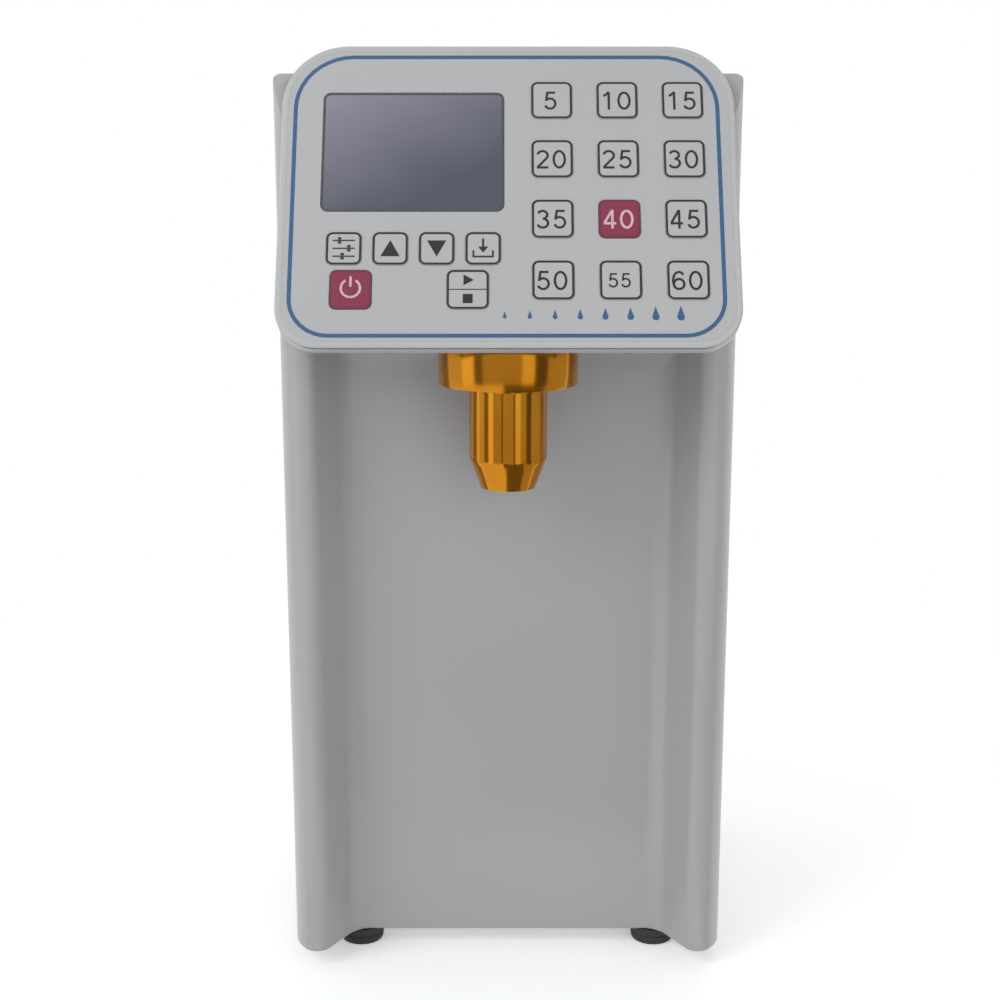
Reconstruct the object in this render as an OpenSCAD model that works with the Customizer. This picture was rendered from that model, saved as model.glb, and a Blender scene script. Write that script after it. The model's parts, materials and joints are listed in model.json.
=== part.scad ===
// Counter-top syrup dispenser with a leaning keypad, a gold nozzle and a lift-off tank lid.
// Front faces -Y, +X is right, +Z is up. The origin is on the counter, under the middle.

/* [Body] */
// Width across the two sides
body_w = 230; // [222:1:245]
// Depth from the panel's lower edge to the screw heads on the back
overall_d = 270; // [264:1:280]
// Height of the deck above the counter
deck_h = 467; // [455:1:485]
// Wall of the moulded shell
wall = 3; // [2:0.5:3.5]
// How far the front pillars stand behind the panel's lower edge
head_reach = 60.5; // [56:0.5:64]
// Depth of the cup bay behind the pillars' crests
bay_d = 26.7; // [24:0.1:29]
// Radius of a pillar's crest
nose_r = 8; // [7:0.5:9]
// Distance from a pillar's crest centre to the side
nose_in = 12.5; // [12:0.5:14]
// Radius that leads from the crest to the side
side_r = 24; // [22:1:28]
// Slope of the pillar's inner flank
flank_a = 60; // [55:1:64]
// Radius between the flank and the back of the bay
cove_r = 14; // [10:1:16]
// Radius where the back of the bay curves up to the head
bay_top_r = 22; // [16:1:24]
// Radius of the two rear corners
back_r = 8; // [6:1:10]
// Thickness of the deck
deck_t = 3; // [2.5:0.5:4]

/* [Base] */
// Height of the rubber feet
foot_h = 9; // [7:1:12]
// Radius of a rubber foot
foot_r = 12.5; // [10:0.5:14]
// Distance of the feet from the sides
foot_in = 34; // [29:1:40]
// Distance of the front feet behind the back of the bay
foot_front_in = 10.3; // [8:0.1:18]
// Distance of the rear feet from the back of the shell
foot_rear_in = 23.5; // [20:0.5:34]
// Thickness of the base plate
base_t = 2; // [1.5:0.5:3]

/* [Panel] */
// Width of the leaning panel
panel_w = 216.5; // [211:0.5:219]
// Length of the panel along its slope
panel_l = 156; // [154:1:160]
// Lean of the panel, back from upright
lean = 28; // [25:1:31]
// Thickness of the panel's bezel
bezel_t = 7.5; // [6:0.5:8]
// How far the panel rises above the deck
panel_rise = 13; // [8:1:15]
// Radius of the panel's upper corners
panel_top_r = 31.5; // [22:0.5:33]
// Radius of the panel's lower corners
panel_low_r = 20; // [16:1:24]
// Bezel margin around the printed overlay
overlay_in = 3; // [2:0.5:4]
// Thickness of the overlay
overlay_t = 0.8; // [0.5:0.1:1]
// Thickness of the bezel's face behind the overlay
face_t = 2.2; // [2:0.1:2.5]
// Width of the display window
window_w = 86.4; // [80:0.1:90]
// Height of the display window
window_h = 62.4; // [56:0.1:65]
// Place of the window's centre across the panel
window_u = -45.2; // [-46:0.1:-43]
// Place of the window's centre up the panel
window_v = 21.3; // [20:0.1:23]
// Corner radius of the display window
window_r = 3.6; // [2:0.1:5]
// Thickness of the display window
window_t = 1.6; // [1:0.1:1.8]

/* [Keys] */
// Side of a number key
key_s = 19.6; // [17:0.1:21]
// Side of a small function key
small_key_s = 16.6; // [14:0.1:18]
// Corner radius of a key
key_r = 3.2; // [2:0.1:4]
// Distance between number key columns
key_pitch_u = 31.3; // [28:0.1:31.8]
// Distance between number key rows
key_pitch_v = 31; // [28:0.1:31.8]
// Column of the first number key
key_u = 20.7; // [18:0.1:21]
// Row of the first number key
key_v = 48.3; // [46:0.1:49]
// Distance between the small keys
small_pitch = 21.65; // [20:0.05:22]
// Column of the first small key
small_u = -76.8; // [-80:0.1:-76]
// Row of the small keys
small_v = -28.8; // [-30:0.1:-28]
// Column of the power key
power_u = -73.2; // [-76:0.1:-70]
// Column of the run key
run_u = -18.9; // [-21:0.1:-16]
// Row of the power and run keys
power_v = -49.4; // [-51:0.1:-49]
// How far a key stands above the overlay
key_proud = 0.4; // [0.2:0.1:0.6]
// Travel of a key
key_travel = 0.5; // [0.3:0.1:0.6]
// Gap around a key
key_gap = 0.3; // [0.2:0.05:0.5]

/* [Nozzle] */
// Distance of the nozzle's axis behind the panel's lower edge
nozzle_in = 44; // [42:1:46]
// Radius of the collar under the head
collar_r = 34; // [28:0.5:36]
// Height of the collar
collar_h = 19.3; // [17:0.1:22]
// Radius of the fluted spout
spout_r = 19; // [17:0.5:21]
// Length of the fluted part
spout_h = 36.8; // [34:0.1:42]
// Length of the tapered tip
tip_h = 15; // [12:0.5:18]
// Radius of the tip's end
tip_r = 13.4; // [10:0.1:14]
// Number of flutes around the spout
flutes = 24; // [12:1:24]
// Radius of a flute's cut
flute_r = 14; // [9:1:18]
// Depth of a flute's cut
flute_d = 0.4; // [0.4:0.1:0.6]
// Radius of the spout's shank inside the collar
shank_r = 11.9; // [11:0.1:13]
// Radius of the valve ball
ball_r = 4.5; // [4:0.1:5]
// Wire of the valve spring
spring_wire = 0.8; // [0.6:0.1:1]
// Turns of the valve spring
spring_turns = 5; // [4:1:6]

/* [Tank and lid] */
// Width of the tank
tank_w = 188; // [180:1:198]
// Gap between the back of the bay and the tank
tank_front_in = 19.8; // [17.8:0.1:24]
// Gap between the tank and the back of the shell
tank_back_in = 11.5; // [10:0.5:16]
// Height of the tank's floor above the counter
tank_floor_z = 205; // [195:1:230]
// Corner radius of the tank
tank_r = 14; // [10:1:20]
// Sheet thickness of the tank
tank_t = 1.2; // [0.8:0.1:1.5]
// Width of the tank's rim on the deck
rim_w = 5; // [4:0.5:6]
// Thickness of the lid's plate
lid_t = 3; // [2:0.5:4]
// Overhang of the lid past the tank's rim
lid_over = 5; // [4:0.5:6]
// Radius of the lid's knob
knob_r = 19; // [15:0.5:22]
// Height of the lid's knob
knob_h = 10; // [8:0.5:11]

/* [Pump] */
// Gap between the delivery hose and the back of the bay
hose_clear = 0.6; // [0.4:0.1:1]
// Height of the drive gear's axis
pump_z = 64; // [62:1:70]
// Number of teeth on each pump gear
gear_teeth = 12; // [12:1:12]
// Gear module
gear_m = 2; // [1.8:0.1:2.2]
// Width of the pump gears
gear_w = 12; // [10:1:14]
// Radius of the pump shafts
shaft_r = 3; // [2.5:0.1:3.5]
// Radius of the motor's gearbox
motor_r = 18.5; // [16:0.5:20]
// Length of the motor with its gearbox
motor_l = 66; // [56:1:72]
// Outside radius of the delivery hose
hose_r = 6; // [5.5:0.5:6.5]
// Wall of both hoses
hose_t = 2; // [1.5:0.1:2.2]
// Outside radius of the suction hose
suction_r = 7; // [6.5:0.5:8]

/* [Back] */
// Thickness of the back cover
cover_t = 1.5; // [1:0.1:2]
// How far louvres, screw heads and the inlet stand off the cover
proud = 2; // [1.5:0.1:2.5]
// Distance of the power inlet's middle from the side
inlet_in = 53; // [47:1:59]
// Height of the power inlet's socket
inlet_z = 58; // [54:1:64]
// Rows of louvres in each field
louvre_rows = 8; // [5:1:9]
// Length of a louvre
louvre_w = 62; // [50:1:66]

/* [Fits] */
// Gap between faces that only lie beside each other
gap = 0.3; // [0.2:0.05:0.5]
// Running clearance of a shaft in its bore, on the radius
run_gap = 0.05; // [0.03:0.01:0.08]

/* [Hidden] */
$fn = 64;

far = 400;                  // larger than the whole object, for cutting blocks
front_y = -overall_d / 2;
back_y = overall_d / 2;
cover_out_y = back_y - proud;
shell_back_y = cover_out_y - cover_t;
deck_z = deck_h - deck_t;

// The panel's own frame: u to the right, v up the slope, w out of its face.
panel_y = front_y + panel_l / 2 * sin(lean);
panel_z = deck_h + panel_rise - panel_l / 2 * cos(lean);
function plane_y(z, w) = panel_y + (z - panel_z) * tan(lean) - w / cos(lean);
panel_low_z = panel_z - panel_l / 2 * cos(lean);
lip_drop = 2.2;             // head floor below the panel's lower front edge
head_z = panel_low_z - lip_drop;
pocket_w = -overlay_t - face_t;
key_back_w = pocket_w + key_travel + 0.1;
sheet_t = 0.5;
board_t = 1.6;
board_w = pocket_w - sheet_t - board_t;
rim_in = 6;                 // bezel rim around the electronics
deck_v = (deck_z - panel_z + bezel_t * sin(lean)) / cos(lean);  // where the deck meets the panel
pocket_top = deck_v - 2;    // the electronics end below the deck
module_d = 6;               // depth of the display module behind the face
module_in = 2.5;            // module margin around the window
window_w0 = -0.3;           // window face below the overlay face
u_cols = [for (i = [0:2]) key_u + i * key_pitch_u];
v_rows = [for (i = [0:3]) key_v - i * key_pitch_v];
function small_at(i) = [small_u + i * small_pitch, small_v];
function number_at(i) = [u_cols[i % 3], v_rows[floor(i / 3)]];
number_places = [for (i = [0:11]) number_at(i)];
small_places = [for (i = [0:3]) small_at(i)];
power_place = [power_u, power_v];
run_place = [run_u, power_v];

// Body outline seen from above, drawn `i` inside the outer face.
crest_y = front_y + head_reach;
bay_y = crest_y + bay_d;
nose = [body_w / 2 - nose_in, crest_y + nose_r];
side_c = [body_w / 2 - side_r,
    nose.y + sqrt(pow(side_r - nose_r, 2) - pow(side_r - nose_in, 2))];
nose_end = atan2(nose.y - side_c.y, nose.x - side_c.x);
flank = [nose.x - nose_r * sin(flank_a), nose.y - nose_r * cos(flank_a)];
flank_run = (bay_y - cove_r + cove_r * cos(flank_a) - flank.y) / sin(flank_a);
cove = [flank.x - flank_run * cos(flank_a) - cove_r * sin(flank_a), bay_y - cove_r];
foot_x = body_w / 2 - foot_in;
foot_front_y = bay_y + foot_front_in;
foot_rear_y = shell_back_y - foot_rear_in;
inlet_x = body_w / 2 - inlet_in;
rear_c = [body_w / 2 - back_r, shell_back_y - back_r];
function arc(c, r, a0, a1, n, skip) =
    [for (i = [skip:n]) let (a = a0 + (a1 - a0) * i / n) [c.x + r * cos(a), c.y + r * sin(a)]];
function right_half(i) = concat(
    arc(cove, cove_r + i, 90, 90 - flank_a, 8, 0),
    arc(nose, nose_r - i, -90 - flank_a, nose_end, 10, 0),
    arc(side_c, side_r - i, nose_end, 0, 5, 1),
    arc(rear_c, back_r - i, 0, 90, 5, 0));
function ring(i) = let (h = right_half(i))
    concat(h, [for (k = [len(h) - 1:-1:0]) [-h[k].x, h[k].y]]);

head_w = 2 * nose.x;        // the head ends at the pillars' crests
head_corner_r = 14;         // radius of the head's two lower corners
window_half = 60;           // half width of the passage behind the head
flange_w = 12;              // shell flange that the back cover lies on
bay_cut = bay_top_r;

// Nozzle stack, from the head's floor down.
nozzle_y = front_y + nozzle_in;
seal_t = 1;
floor_t = wall;
collar_top = head_z - seal_t;
collar_z = collar_top - collar_h;
spout_z = collar_z - spout_h;
tip_z = spout_z - tip_h;
neck_r = 11;
nut_h = 7;
nut_r = 19;
neck_top = head_z + floor_t + nut_h + 3;
hose_bore = hose_r - hose_t;
barb_r = hose_bore - 0.1;
barb_top = neck_top + 12;
shank_h = 11;
bore_r = 2.5;               // syrup passage
chamber_r = ball_r + 1.5;
seat_r = ball_r * 0.78;
seat_z = collar_z - 4;
ball_z = seat_z - sqrt(pow(ball_r, 2) - pow(seat_r, 2)) - 0.05;
spring_z = spout_z + 9;
spring_r = ball_r * 0.72;
spring_top = ball_z - sqrt(pow(ball_r, 2) - pow(spring_r, 2)) - spring_wire / 2 - 0.1;
groove_z = collar_z + 5;
groove_d = 1.5;

// Tank, rim, lid and knob, stacked on the deck.
tank_d = shell_back_y - tank_back_in - bay_y - tank_front_in;
tank_y = bay_y + tank_front_in + tank_d / 2;
gasket_t = 1;
rim_z = deck_h + gasket_t;
rim_top = rim_z + tank_t;
lid_seal_t = 2;
lid_z = rim_top + lid_seal_t;
lid_top = lid_z + lid_t;
skirt_t = 2;
suction_bore = suction_r - hose_t;
outlet_r = suction_bore - 0.1;
outlet_bore = 3.2;
suction_bend = 20;
outlet_len = 25;

// Pump: two gears side by side in one chamber, axes along X, the driven one below.
pitch_r = gear_teeth * gear_m / 2;
gear_tip = pitch_r + 0.85 * gear_m;
gear_root = pitch_r - 1.2 * gear_m;
gear_step = 2 * pitch_r + 0.2 * gear_m;
chamber_gap = 0.15;
pump_side_t = 10;           // casting beside, over and behind the gears
pump_end_t = 8;
pump_back_t = 12;
pump_cover_t = 8;
pump_half = gear_tip + pump_side_t;
pump_low = pump_z - gear_tip - pump_end_t;
pump_high = pump_z + gear_step + gear_tip + pump_end_t;
pump_mid = pump_z + gear_step / 2;
gear_x = gear_w / 2;
body_x = gear_x + pump_back_t;
cover_x = -gear_x - pump_cover_t;
blind = 4;
bracket_t = 3;
motor_x = body_x + bracket_t;
nipple_l = 12;
delivery_stub = 0.5;        // straight hose past each nipple
suction_stub = 2;
delivery_bend = 18;
delivery_y = bay_y + wall + hose_clear + hose_r;
pump_y = delivery_y + delivery_bend + delivery_stub + nipple_l + pump_half;
outlet_y = pump_y + pump_half + nipple_l + suction_stub + suction_bend;
arch_r = (delivery_y - nozzle_y) / 2;
arch_z = barb_top + 1;

inside_z = foot_h + base_t;
screw_head_r = 3.5;
screw_r = 1.5;
cover_half = body_w / 2 - 5;
cover_low = foot_h + 3;
cover_high = deck_z - gap;
screw_x = cover_half - 5;
screw_zs = [for (i = [0:3]) cover_low + 8 + i * (cover_high - cover_low - 16) / 3];
head_screw_in = 46.5;
head_screw_x = nose.x - head_screw_in;
head_screw_y = front_y + 13;

// Shared shapes
module rrect(w, h, r) {
    square([w - 2 * r, h], center = true);
    square([w, h - 2 * r], center = true);
    for (x = [-1, 1], y = [-1, 1])
        translate([x * (w / 2 - r), y * (h / 2 - r)]) circle(r);
}
module panel_shape(in) {
    w = panel_w - 2 * in;
    l = panel_l - 2 * in;
    rt = panel_top_r - in;
    rl = panel_low_r - in;
    translate([-w / 2 + rt, -l / 2]) square([w - 2 * rt, l]);
    translate([-w / 2, -l / 2 + rl]) square([w, l - rl - rt]);
    translate([-w / 2 + rl, -l / 2]) square([w - 2 * rl, l / 2]);
    for (x = [-1, 1]) {
        translate([x * (w / 2 - rt), l / 2 - rt]) circle(rt);
        translate([x * (w / 2 - rl), rl - l / 2]) circle(rl);
    }
}
// Space behind the panel for the electronics, which the head and the deck close
module pocket_shape(in) {
    intersection() {
        panel_shape(rim_in + in);
        translate([-far, -far]) square([2 * far, far + pocket_top - in]);
    }
}
module in_panel(w) {
    translate([0, panel_y, panel_z]) rotate([90 - lean, 0, 0]) translate([0, 0, w]) children();
}
module plate(w, t) {
    in_panel(w) linear_extrude(t) children();
}
module before_panel(w) {
    in_panel(w) translate([-far, -far, 0]) cube([2 * far, 2 * far, far]);
}
module tube(r, hole, l) {
    linear_extrude(l) difference() {
        circle(r);
        circle(hole);
    }
}
module tank_prism(grow, z0, z1) {
    translate([0, tank_y, z0]) linear_extrude(z1 - z0)
        rrect(tank_w + 2 * grow, tank_d + 2 * grow, tank_r + grow);
}

// A tube through axis-aligned points, with a quarter bend at each inner one.
function unit(v) = v / norm(v);
module route(p, bend, r, hole) {
    last = len(p) - 1;
    for (i = [0:last - 1]) {
        d = unit(p[i + 1] - p[i]);
        a = i == 0 ? 0 : bend;
        b = i == last - 1 ? 0 : bend;
        translate(p[i] + a * d)
            rotate([0, acos(d.z), atan2(d.y, d.x)])
                tube(r, hole, norm(p[i + 1] - p[i]) - a - b);
    }
    if (last > 1) for (i = [1:last - 1]) {
        d1 = unit(p[i] - p[i - 1]);
        d2 = unit(p[i + 1] - p[i]);
        c = p[i] - bend * d1 + bend * d2;
        n = cross(-d2, d1);
        multmatrix([[-d2.x, d1.x, n.x, c.x], [-d2.y, d1.y, n.y, c.y],
                    [-d2.z, d1.z, n.z, c.z], [0, 0, 0, 1]])
            rotate_extrude(angle = 90) translate([bend, 0]) difference() {
                circle(r);
                circle(hole);
            }
    }
}

// The head seen from the front, `in` inside its outer face and open at the top
module head_prism(in, y0, y1) {
    r = head_corner_r - in;
    x = head_w / 2 - in;
    z = head_z + in;
    translate([0, y1, 0]) rotate([90, 0, 0]) linear_extrude(y1 - y0) {
        translate([-x, z + r]) square([2 * x, far]);
        translate([r - x, z]) square([2 * (x - r), r + 1]);
        for (side = [-1, 1]) translate([side * (x - r), z + r]) circle(r);
    }
}

// Casing
module body_shell() {
    color([0.72, 0.73, 0.74]) {
        difference() {
            translate([0, 0, foot_h]) linear_extrude(deck_z - foot_h) difference() {
                polygon(ring(0));
                polygon(ring(wall));
                translate([-body_w / 2 + flange_w, shell_back_y - 2 * wall])
                    square([body_w - 2 * flange_w, 4 * wall]);
            }
            before_panel(-bezel_t);
            translate([-window_half, bay_y - wall, head_z + 10])
                cube([2 * window_half, 3 * wall, deck_z - head_z - 22]);
            for (x = [-1, 1], z = screw_zs)
                translate([x * screw_x, shell_back_y + 1, z]) rotate([90, 0, 0])
                    cylinder(r = screw_r + run_gap, h = wall + 2);
        }
        intersection() {
            plate(-bezel_t - wall, wall) square(far, center = true);
            translate([0, 0, foot_h]) linear_extrude(deck_z - foot_h) polygon(ring(0));
        }
        difference() {
            translate([-nose.x, bay_y - bay_cut, head_z - bay_cut])
                cube([2 * nose.x, bay_cut + wall / 2, bay_cut + head_corner_r]);
            head_prism(0, -far, far);
            translate([-far, bay_y - bay_cut, head_z - bay_cut]) rotate([0, 90, 0])
                cylinder(r = bay_top_r, h = 2 * far);
            translate([0, nozzle_y, head_z - 2 * bay_cut])
                cylinder(r = collar_r + 1, h = 4 * bay_cut);
            translate([0, 0, head_z - 2 * bay_cut]) linear_extrude(4 * bay_cut)
                polygon(ring(wall / 2));
        }
    }
}
module top_deck() {
    color([0.70, 0.71, 0.72]) difference() {
        translate([0, 0, deck_z]) linear_extrude(deck_t) {
            polygon(ring(0));
            translate([-nose.x, front_y]) square([2 * nose.x, head_reach + bay_d + wall]);
        }
        before_panel(-bezel_t);
        tank_prism(0.5, 0, far * 2);
    }
}
module head_housing() {
    color([0.70, 0.71, 0.72]) difference() {
        head_prism(0, front_y, bay_y - gap);
        translate([-far, -far, deck_z]) cube(2 * far);
        before_panel(-bezel_t);
        translate([0, 0, head_z - 1]) linear_extrude(far) polygon(ring(-gap));
        head_prism(wall, -far, far);
        translate([0, nozzle_y, head_z - 1]) cylinder(r = neck_r + gap, h = floor_t + 2);
        for (x = [-1, 1])
            translate([x * head_screw_x, head_screw_y, head_z - 1])
                cylinder(r = screw_r + run_gap, h = floor_t + 2);
    }
}

// Panel
module key_squares(grow) {
    for (p = number_places) translate(p) rrect(key_s + 2 * grow, key_s + 2 * grow, key_r + grow);
    for (p = [power_place, run_place])
        translate(p) rrect(key_s + 2 * grow, key_s + 2 * grow, key_r + grow);
    for (p = small_places)
        translate(p) rrect(small_key_s + 2 * grow, small_key_s + 2 * grow, key_r + grow);
}
module window_shape(grow) {
    translate([window_u, window_v]) rrect(window_w + 2 * grow, window_h + 2 * grow, window_r + grow);
}
module panel_bezel() {
    color([0.86, 0.87, 0.88]) difference() {
        plate(-bezel_t, bezel_t) panel_shape(0);
        plate(-overlay_t, 1) panel_shape(overlay_in);
        plate(-bezel_t - 1, bezel_t + 1 + pocket_w) pocket_shape(0);
        plate(-bezel_t - 1, bezel_t + 2) key_squares(key_gap);
        plate(-bezel_t - 1, bezel_t + 2) window_shape(gap);
    }
}
module panel_overlay() {
    color([0.90, 0.91, 0.92]) plate(-overlay_t, overlay_t) difference() {
        panel_shape(overlay_in + gap);
        key_squares(key_gap);
        window_shape(gap);
    }
}
module display_window() {
    color([0.42, 0.44, 0.50]) plate(window_w0 - window_t, window_t) window_shape(0);
}
module display_module() {
    color([0.20, 0.22, 0.24]) {
        plate(pocket_w - module_d, module_d) window_shape(module_in);
        plate(pocket_w - gap, window_w0 - window_t - pocket_w + gap) window_shape(-2);
    }
}
module dome_sheet() {
    color([0.75, 0.77, 0.70]) plate(pocket_w - sheet_t, sheet_t) difference() {
        pocket_shape(gap);
        window_shape(module_in + gap);
    }
}
module control_board() {
    chip_h = 3;
    color([0.10, 0.38, 0.20]) {
        plate(board_w, board_t) difference() {
            pocket_shape(gap);
            window_shape(module_in + gap);
        }
        plate(board_w - chip_h, chip_h) {
            translate([52, 0]) square([14, 14], center = true);
            translate([40, -30]) square([16, 8], center = true);
            translate([-40, -40]) square([30, 7], center = true);
            translate([-62, -52]) circle(4);
        }
    }
}
module key(place, side) {
    plate(key_back_w, key_proud - key_back_w) translate(place) rrect(side, side, key_r);
}
module number_key(i) {
    color(i == 7 ? [0.62, 0.19, 0.34] : [0.88, 0.89, 0.90]) key(number_at(i), key_s);
}
module small_key(i) {
    color([0.88, 0.89, 0.90]) key(small_at(i), small_key_s);
}
module key_power() {
    color([0.62, 0.19, 0.34]) key(power_place, key_s);
}
module key_run_stop() {
    color([0.88, 0.89, 0.90]) key(run_place, key_s);
}

// Nozzle, with a sprung ball that stops drips
module nozzle_collar() {
    color([0.80, 0.58, 0.20]) translate([0, nozzle_y, 0]) difference() {
        union() {
            translate([0, 0, collar_z]) cylinder(r = collar_r, h = collar_h);
            translate([0, 0, collar_top]) cylinder(r = neck_r, h = neck_top - collar_top);
            translate([0, 0, neck_top]) cylinder(r = barb_r, h = barb_top - neck_top);
        }
        translate([0, 0, collar_z - 1]) cylinder(r = shank_r + run_gap, h = shank_h + 1.5);
        translate([0, 0, collar_z]) cylinder(r = bore_r, h = far);
    }
}
module nozzle_nut() {
    color([0.70, 0.71, 0.72]) translate([0, nozzle_y, head_z + floor_t]) difference() {
        cylinder(r = nut_r, h = nut_h, $fn = 6);
        translate([0, 0, -1]) cylinder(r = neck_r + run_gap, h = nut_h + 2);
    }
}
module collar_seal() {
    color([0.15, 0.15, 0.16]) translate([0, nozzle_y, collar_top])
        tube(collar_r - 6, neck_r + gap, seal_t);
}
module nozzle_spout() {
    shank_top = collar_z + shank_h;
    color([0.82, 0.60, 0.20]) translate([0, nozzle_y, 0]) difference() {
        rotate_extrude() polygon([[0, tip_z], [tip_r, tip_z], [spout_r, spout_z],
            [spout_r, collar_z], [shank_r, collar_z], [shank_r, shank_top], [0, shank_top]]);
        for (i = [0:flutes - 1]) rotate([0, 0, 360 * i / flutes])
            translate([spout_r + flute_r - flute_d, 0, spout_z - tip_h / 2])
                cylinder(r = flute_r, h = spout_h - 2 + tip_h / 2, $fn = 96);
        translate([0, 0, tip_z - 1]) cylinder(r = bore_r, h = far);
        translate([0, 0, spring_z]) cylinder(r = chamber_r, h = seat_z - spring_z);
        translate([0, 0, seat_z - 1]) cylinder(r = seat_r, h = 5);
        translate([0, 0, groove_z]) tube(shank_r + 1, shank_r - groove_d, 2 + 2 * gap);
    }
}
module spout_o_ring() {
    color([0.15, 0.15, 0.16]) translate([0, nozzle_y, groove_z + gap])
        tube(shank_r - run_gap, shank_r - groove_d + gap, 2);
}
module valve_ball() {
    color([0.75, 0.76, 0.78]) translate([0, nozzle_y, ball_z]) sphere(ball_r);
}

// Points round the wire at step k of the spring, and the spring as one swept tube
spring_rings = 8;
spring_sides = 6;
spring_z0 = spring_z + spring_wire / 2 + 0.1;
spring_pitch = (spring_top - spring_z0) / spring_turns;
echo(valve_spring_gap_mm = spring_pitch - spring_wire);
function wire_ring(k) = let (a = 360 * k / spring_rings)
    [for (s = [0:spring_sides - 1]) let (b = 360 * s / spring_sides,
        r = spring_r + spring_wire / 2 * cos(b))
        [r * cos(a), r * sin(a),
         spring_z0 + spring_pitch * k / spring_rings + spring_wire / 2 * sin(b)]];
module valve_spring() {
    steps = spring_rings * spring_turns;
    n = spring_sides;
    points = [for (k = [0:steps]) each wire_ring(k)];
    faces = concat([[for (s = [0:n - 1]) s]],
        [for (k = [0:steps - 1], s = [0:n - 1]) let (t = (s + 1) % n)
            [k * n + s, (k + 1) * n + s, (k + 1) * n + t, k * n + t]],
        [[for (s = [n - 1:-1:0]) steps * n + s]]);
    color([0.7, 0.7, 0.72]) translate([0, nozzle_y, 0]) polyhedron(points, faces, convexity = 10);
}

// Tank and lid
module reservoir_tank() {
    color([0.78, 0.79, 0.80]) difference() {
        union() {
            tank_prism(0, tank_floor_z, rim_top);
            tank_prism(rim_w, rim_z, rim_top);
            translate([0, outlet_y, tank_floor_z - outlet_len])
                cylinder(r = outlet_r, h = outlet_len + tank_t);
        }
        tank_prism(-tank_t, tank_floor_z + tank_t, far * 2);
        translate([0, outlet_y, tank_floor_z - outlet_len - 1])
            cylinder(r = outlet_bore, h = outlet_len + 10);
    }
}
module tank_gasket() {
    color([0.20, 0.20, 0.21]) difference() {
        tank_prism(rim_w - 1, deck_h, rim_z);
        tank_prism(0.5, 0, far * 2);
    }
}
module outlet_strainer() {
    r = outlet_bore * 5;
    h = 8;
    color([0.72, 0.73, 0.75]) translate([0, outlet_y, tank_floor_z + tank_t]) difference() {
        cylinder(r = r, h = h);
        translate([0, 0, -1]) cylinder(r = r - 1.5, h = h);
        for (i = [0:11]) rotate([0, 0, 30 * i]) translate([r * 0.62, 0, h - 2])
            cylinder(r = 1.2, h = 4, $fn = 24);
        for (i = [0:5]) rotate([0, 0, 60 * i]) translate([r * 0.3, 0, h - 2])
            cylinder(r = 1.2, h = 4, $fn = 24);
    }
}
module heater_pad() {
    side_in = 25;
    end_in = 5;
    color([0.75, 0.35, 0.15]) translate([0, tank_y, tank_floor_z - 2]) linear_extrude(2)
        difference() {
            rrect(tank_w - 2 * side_in, tank_d - 2 * end_in, 6);
            translate([0, outlet_y - tank_y]) circle(suction_r + 4);
        }
}
module lid() {
    color([0.74, 0.75, 0.76]) difference() {
        tank_prism(rim_w + lid_over, deck_h + gap, lid_top);
        tank_prism(rim_w + lid_over - skirt_t, 0, lid_z);
        translate([0, tank_y, lid_z - 1]) cylinder(r = 2.5 + run_gap, h = lid_t + 2);
    }
}
module lid_seal() {
    color([0.85, 0.85, 0.86]) difference() {
        tank_prism(rim_w - 0.5, rim_top, lid_z);
        tank_prism(-2, 0, far * 2);
    }
}
module lid_knob() {
    stem_r = knob_r * 0.55;
    edge = 2;
    color([0.12, 0.12, 0.13]) translate([0, tank_y, 0]) rotate_extrude() union() {
        polygon([[0, lid_z - 3], [5, lid_z - 3], [5, lid_z], [2.5, lid_z], [2.5, lid_top],
            [stem_r, lid_top], [stem_r - 2, lid_top + knob_h * 0.4],
            [knob_r - edge, lid_top + knob_h * 0.4], [knob_r, lid_top + knob_h * 0.6],
            [knob_r, lid_top + knob_h * 0.75], [knob_r - edge, lid_top + knob_h],
            [0, lid_top + knob_h]]);
    }
}

// Pump and motor
module along_x(x, y, z) {
    translate([x, y, z]) rotate([90, 0, 90]) children();
}
module gear_shape(turn) {
    step = 360 / gear_teeth;
    root_a = step * 0.3;
    tip_a = step * 0.11;
    polygon([for (i = [0:gear_teeth - 1]) each
        [for (q = [[gear_root, -root_a], [gear_tip, -tip_a], [gear_tip, tip_a],
                   [gear_root, root_a]])
            let (a = turn + i * step + q[1]) [q[0] * cos(a), q[0] * sin(a)]]]);
}
module pump_body() {
    chamber = gear_tip + chamber_gap;
    color([0.66, 0.67, 0.69]) difference() {
        union() {
            translate([-gear_x, pump_y - pump_half, pump_low])
                cube([gear_x + body_x, 2 * pump_half, pump_high - pump_low]);
            translate([0, pump_y - pump_half + 1, pump_mid]) rotate([90, 0, 0])
                cylinder(r = barb_r, h = nipple_l + 1);
            translate([0, pump_y + pump_half - 1, pump_mid]) rotate([-90, 0, 0])
                cylinder(r = outlet_r, h = nipple_l + 1);
        }
        for (z = [pump_z, pump_z + gear_step])
            along_x(-gear_x - 1, pump_y, z) cylinder(r = chamber, h = gear_w + 1);
        along_x(0, pump_y, pump_z) cylinder(r = shaft_r + run_gap, h = body_x + 1);
        along_x(0, pump_y, pump_z + gear_step)
            cylinder(r = shaft_r + run_gap, h = gear_x + blind + 0.2);
        translate([0, pump_y, pump_mid]) rotate([90, 0, 0]) cylinder(r = bore_r, h = far);
        translate([0, pump_y, pump_mid]) rotate([-90, 0, 0]) cylinder(r = outlet_bore, h = far);
    }
}
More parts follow.
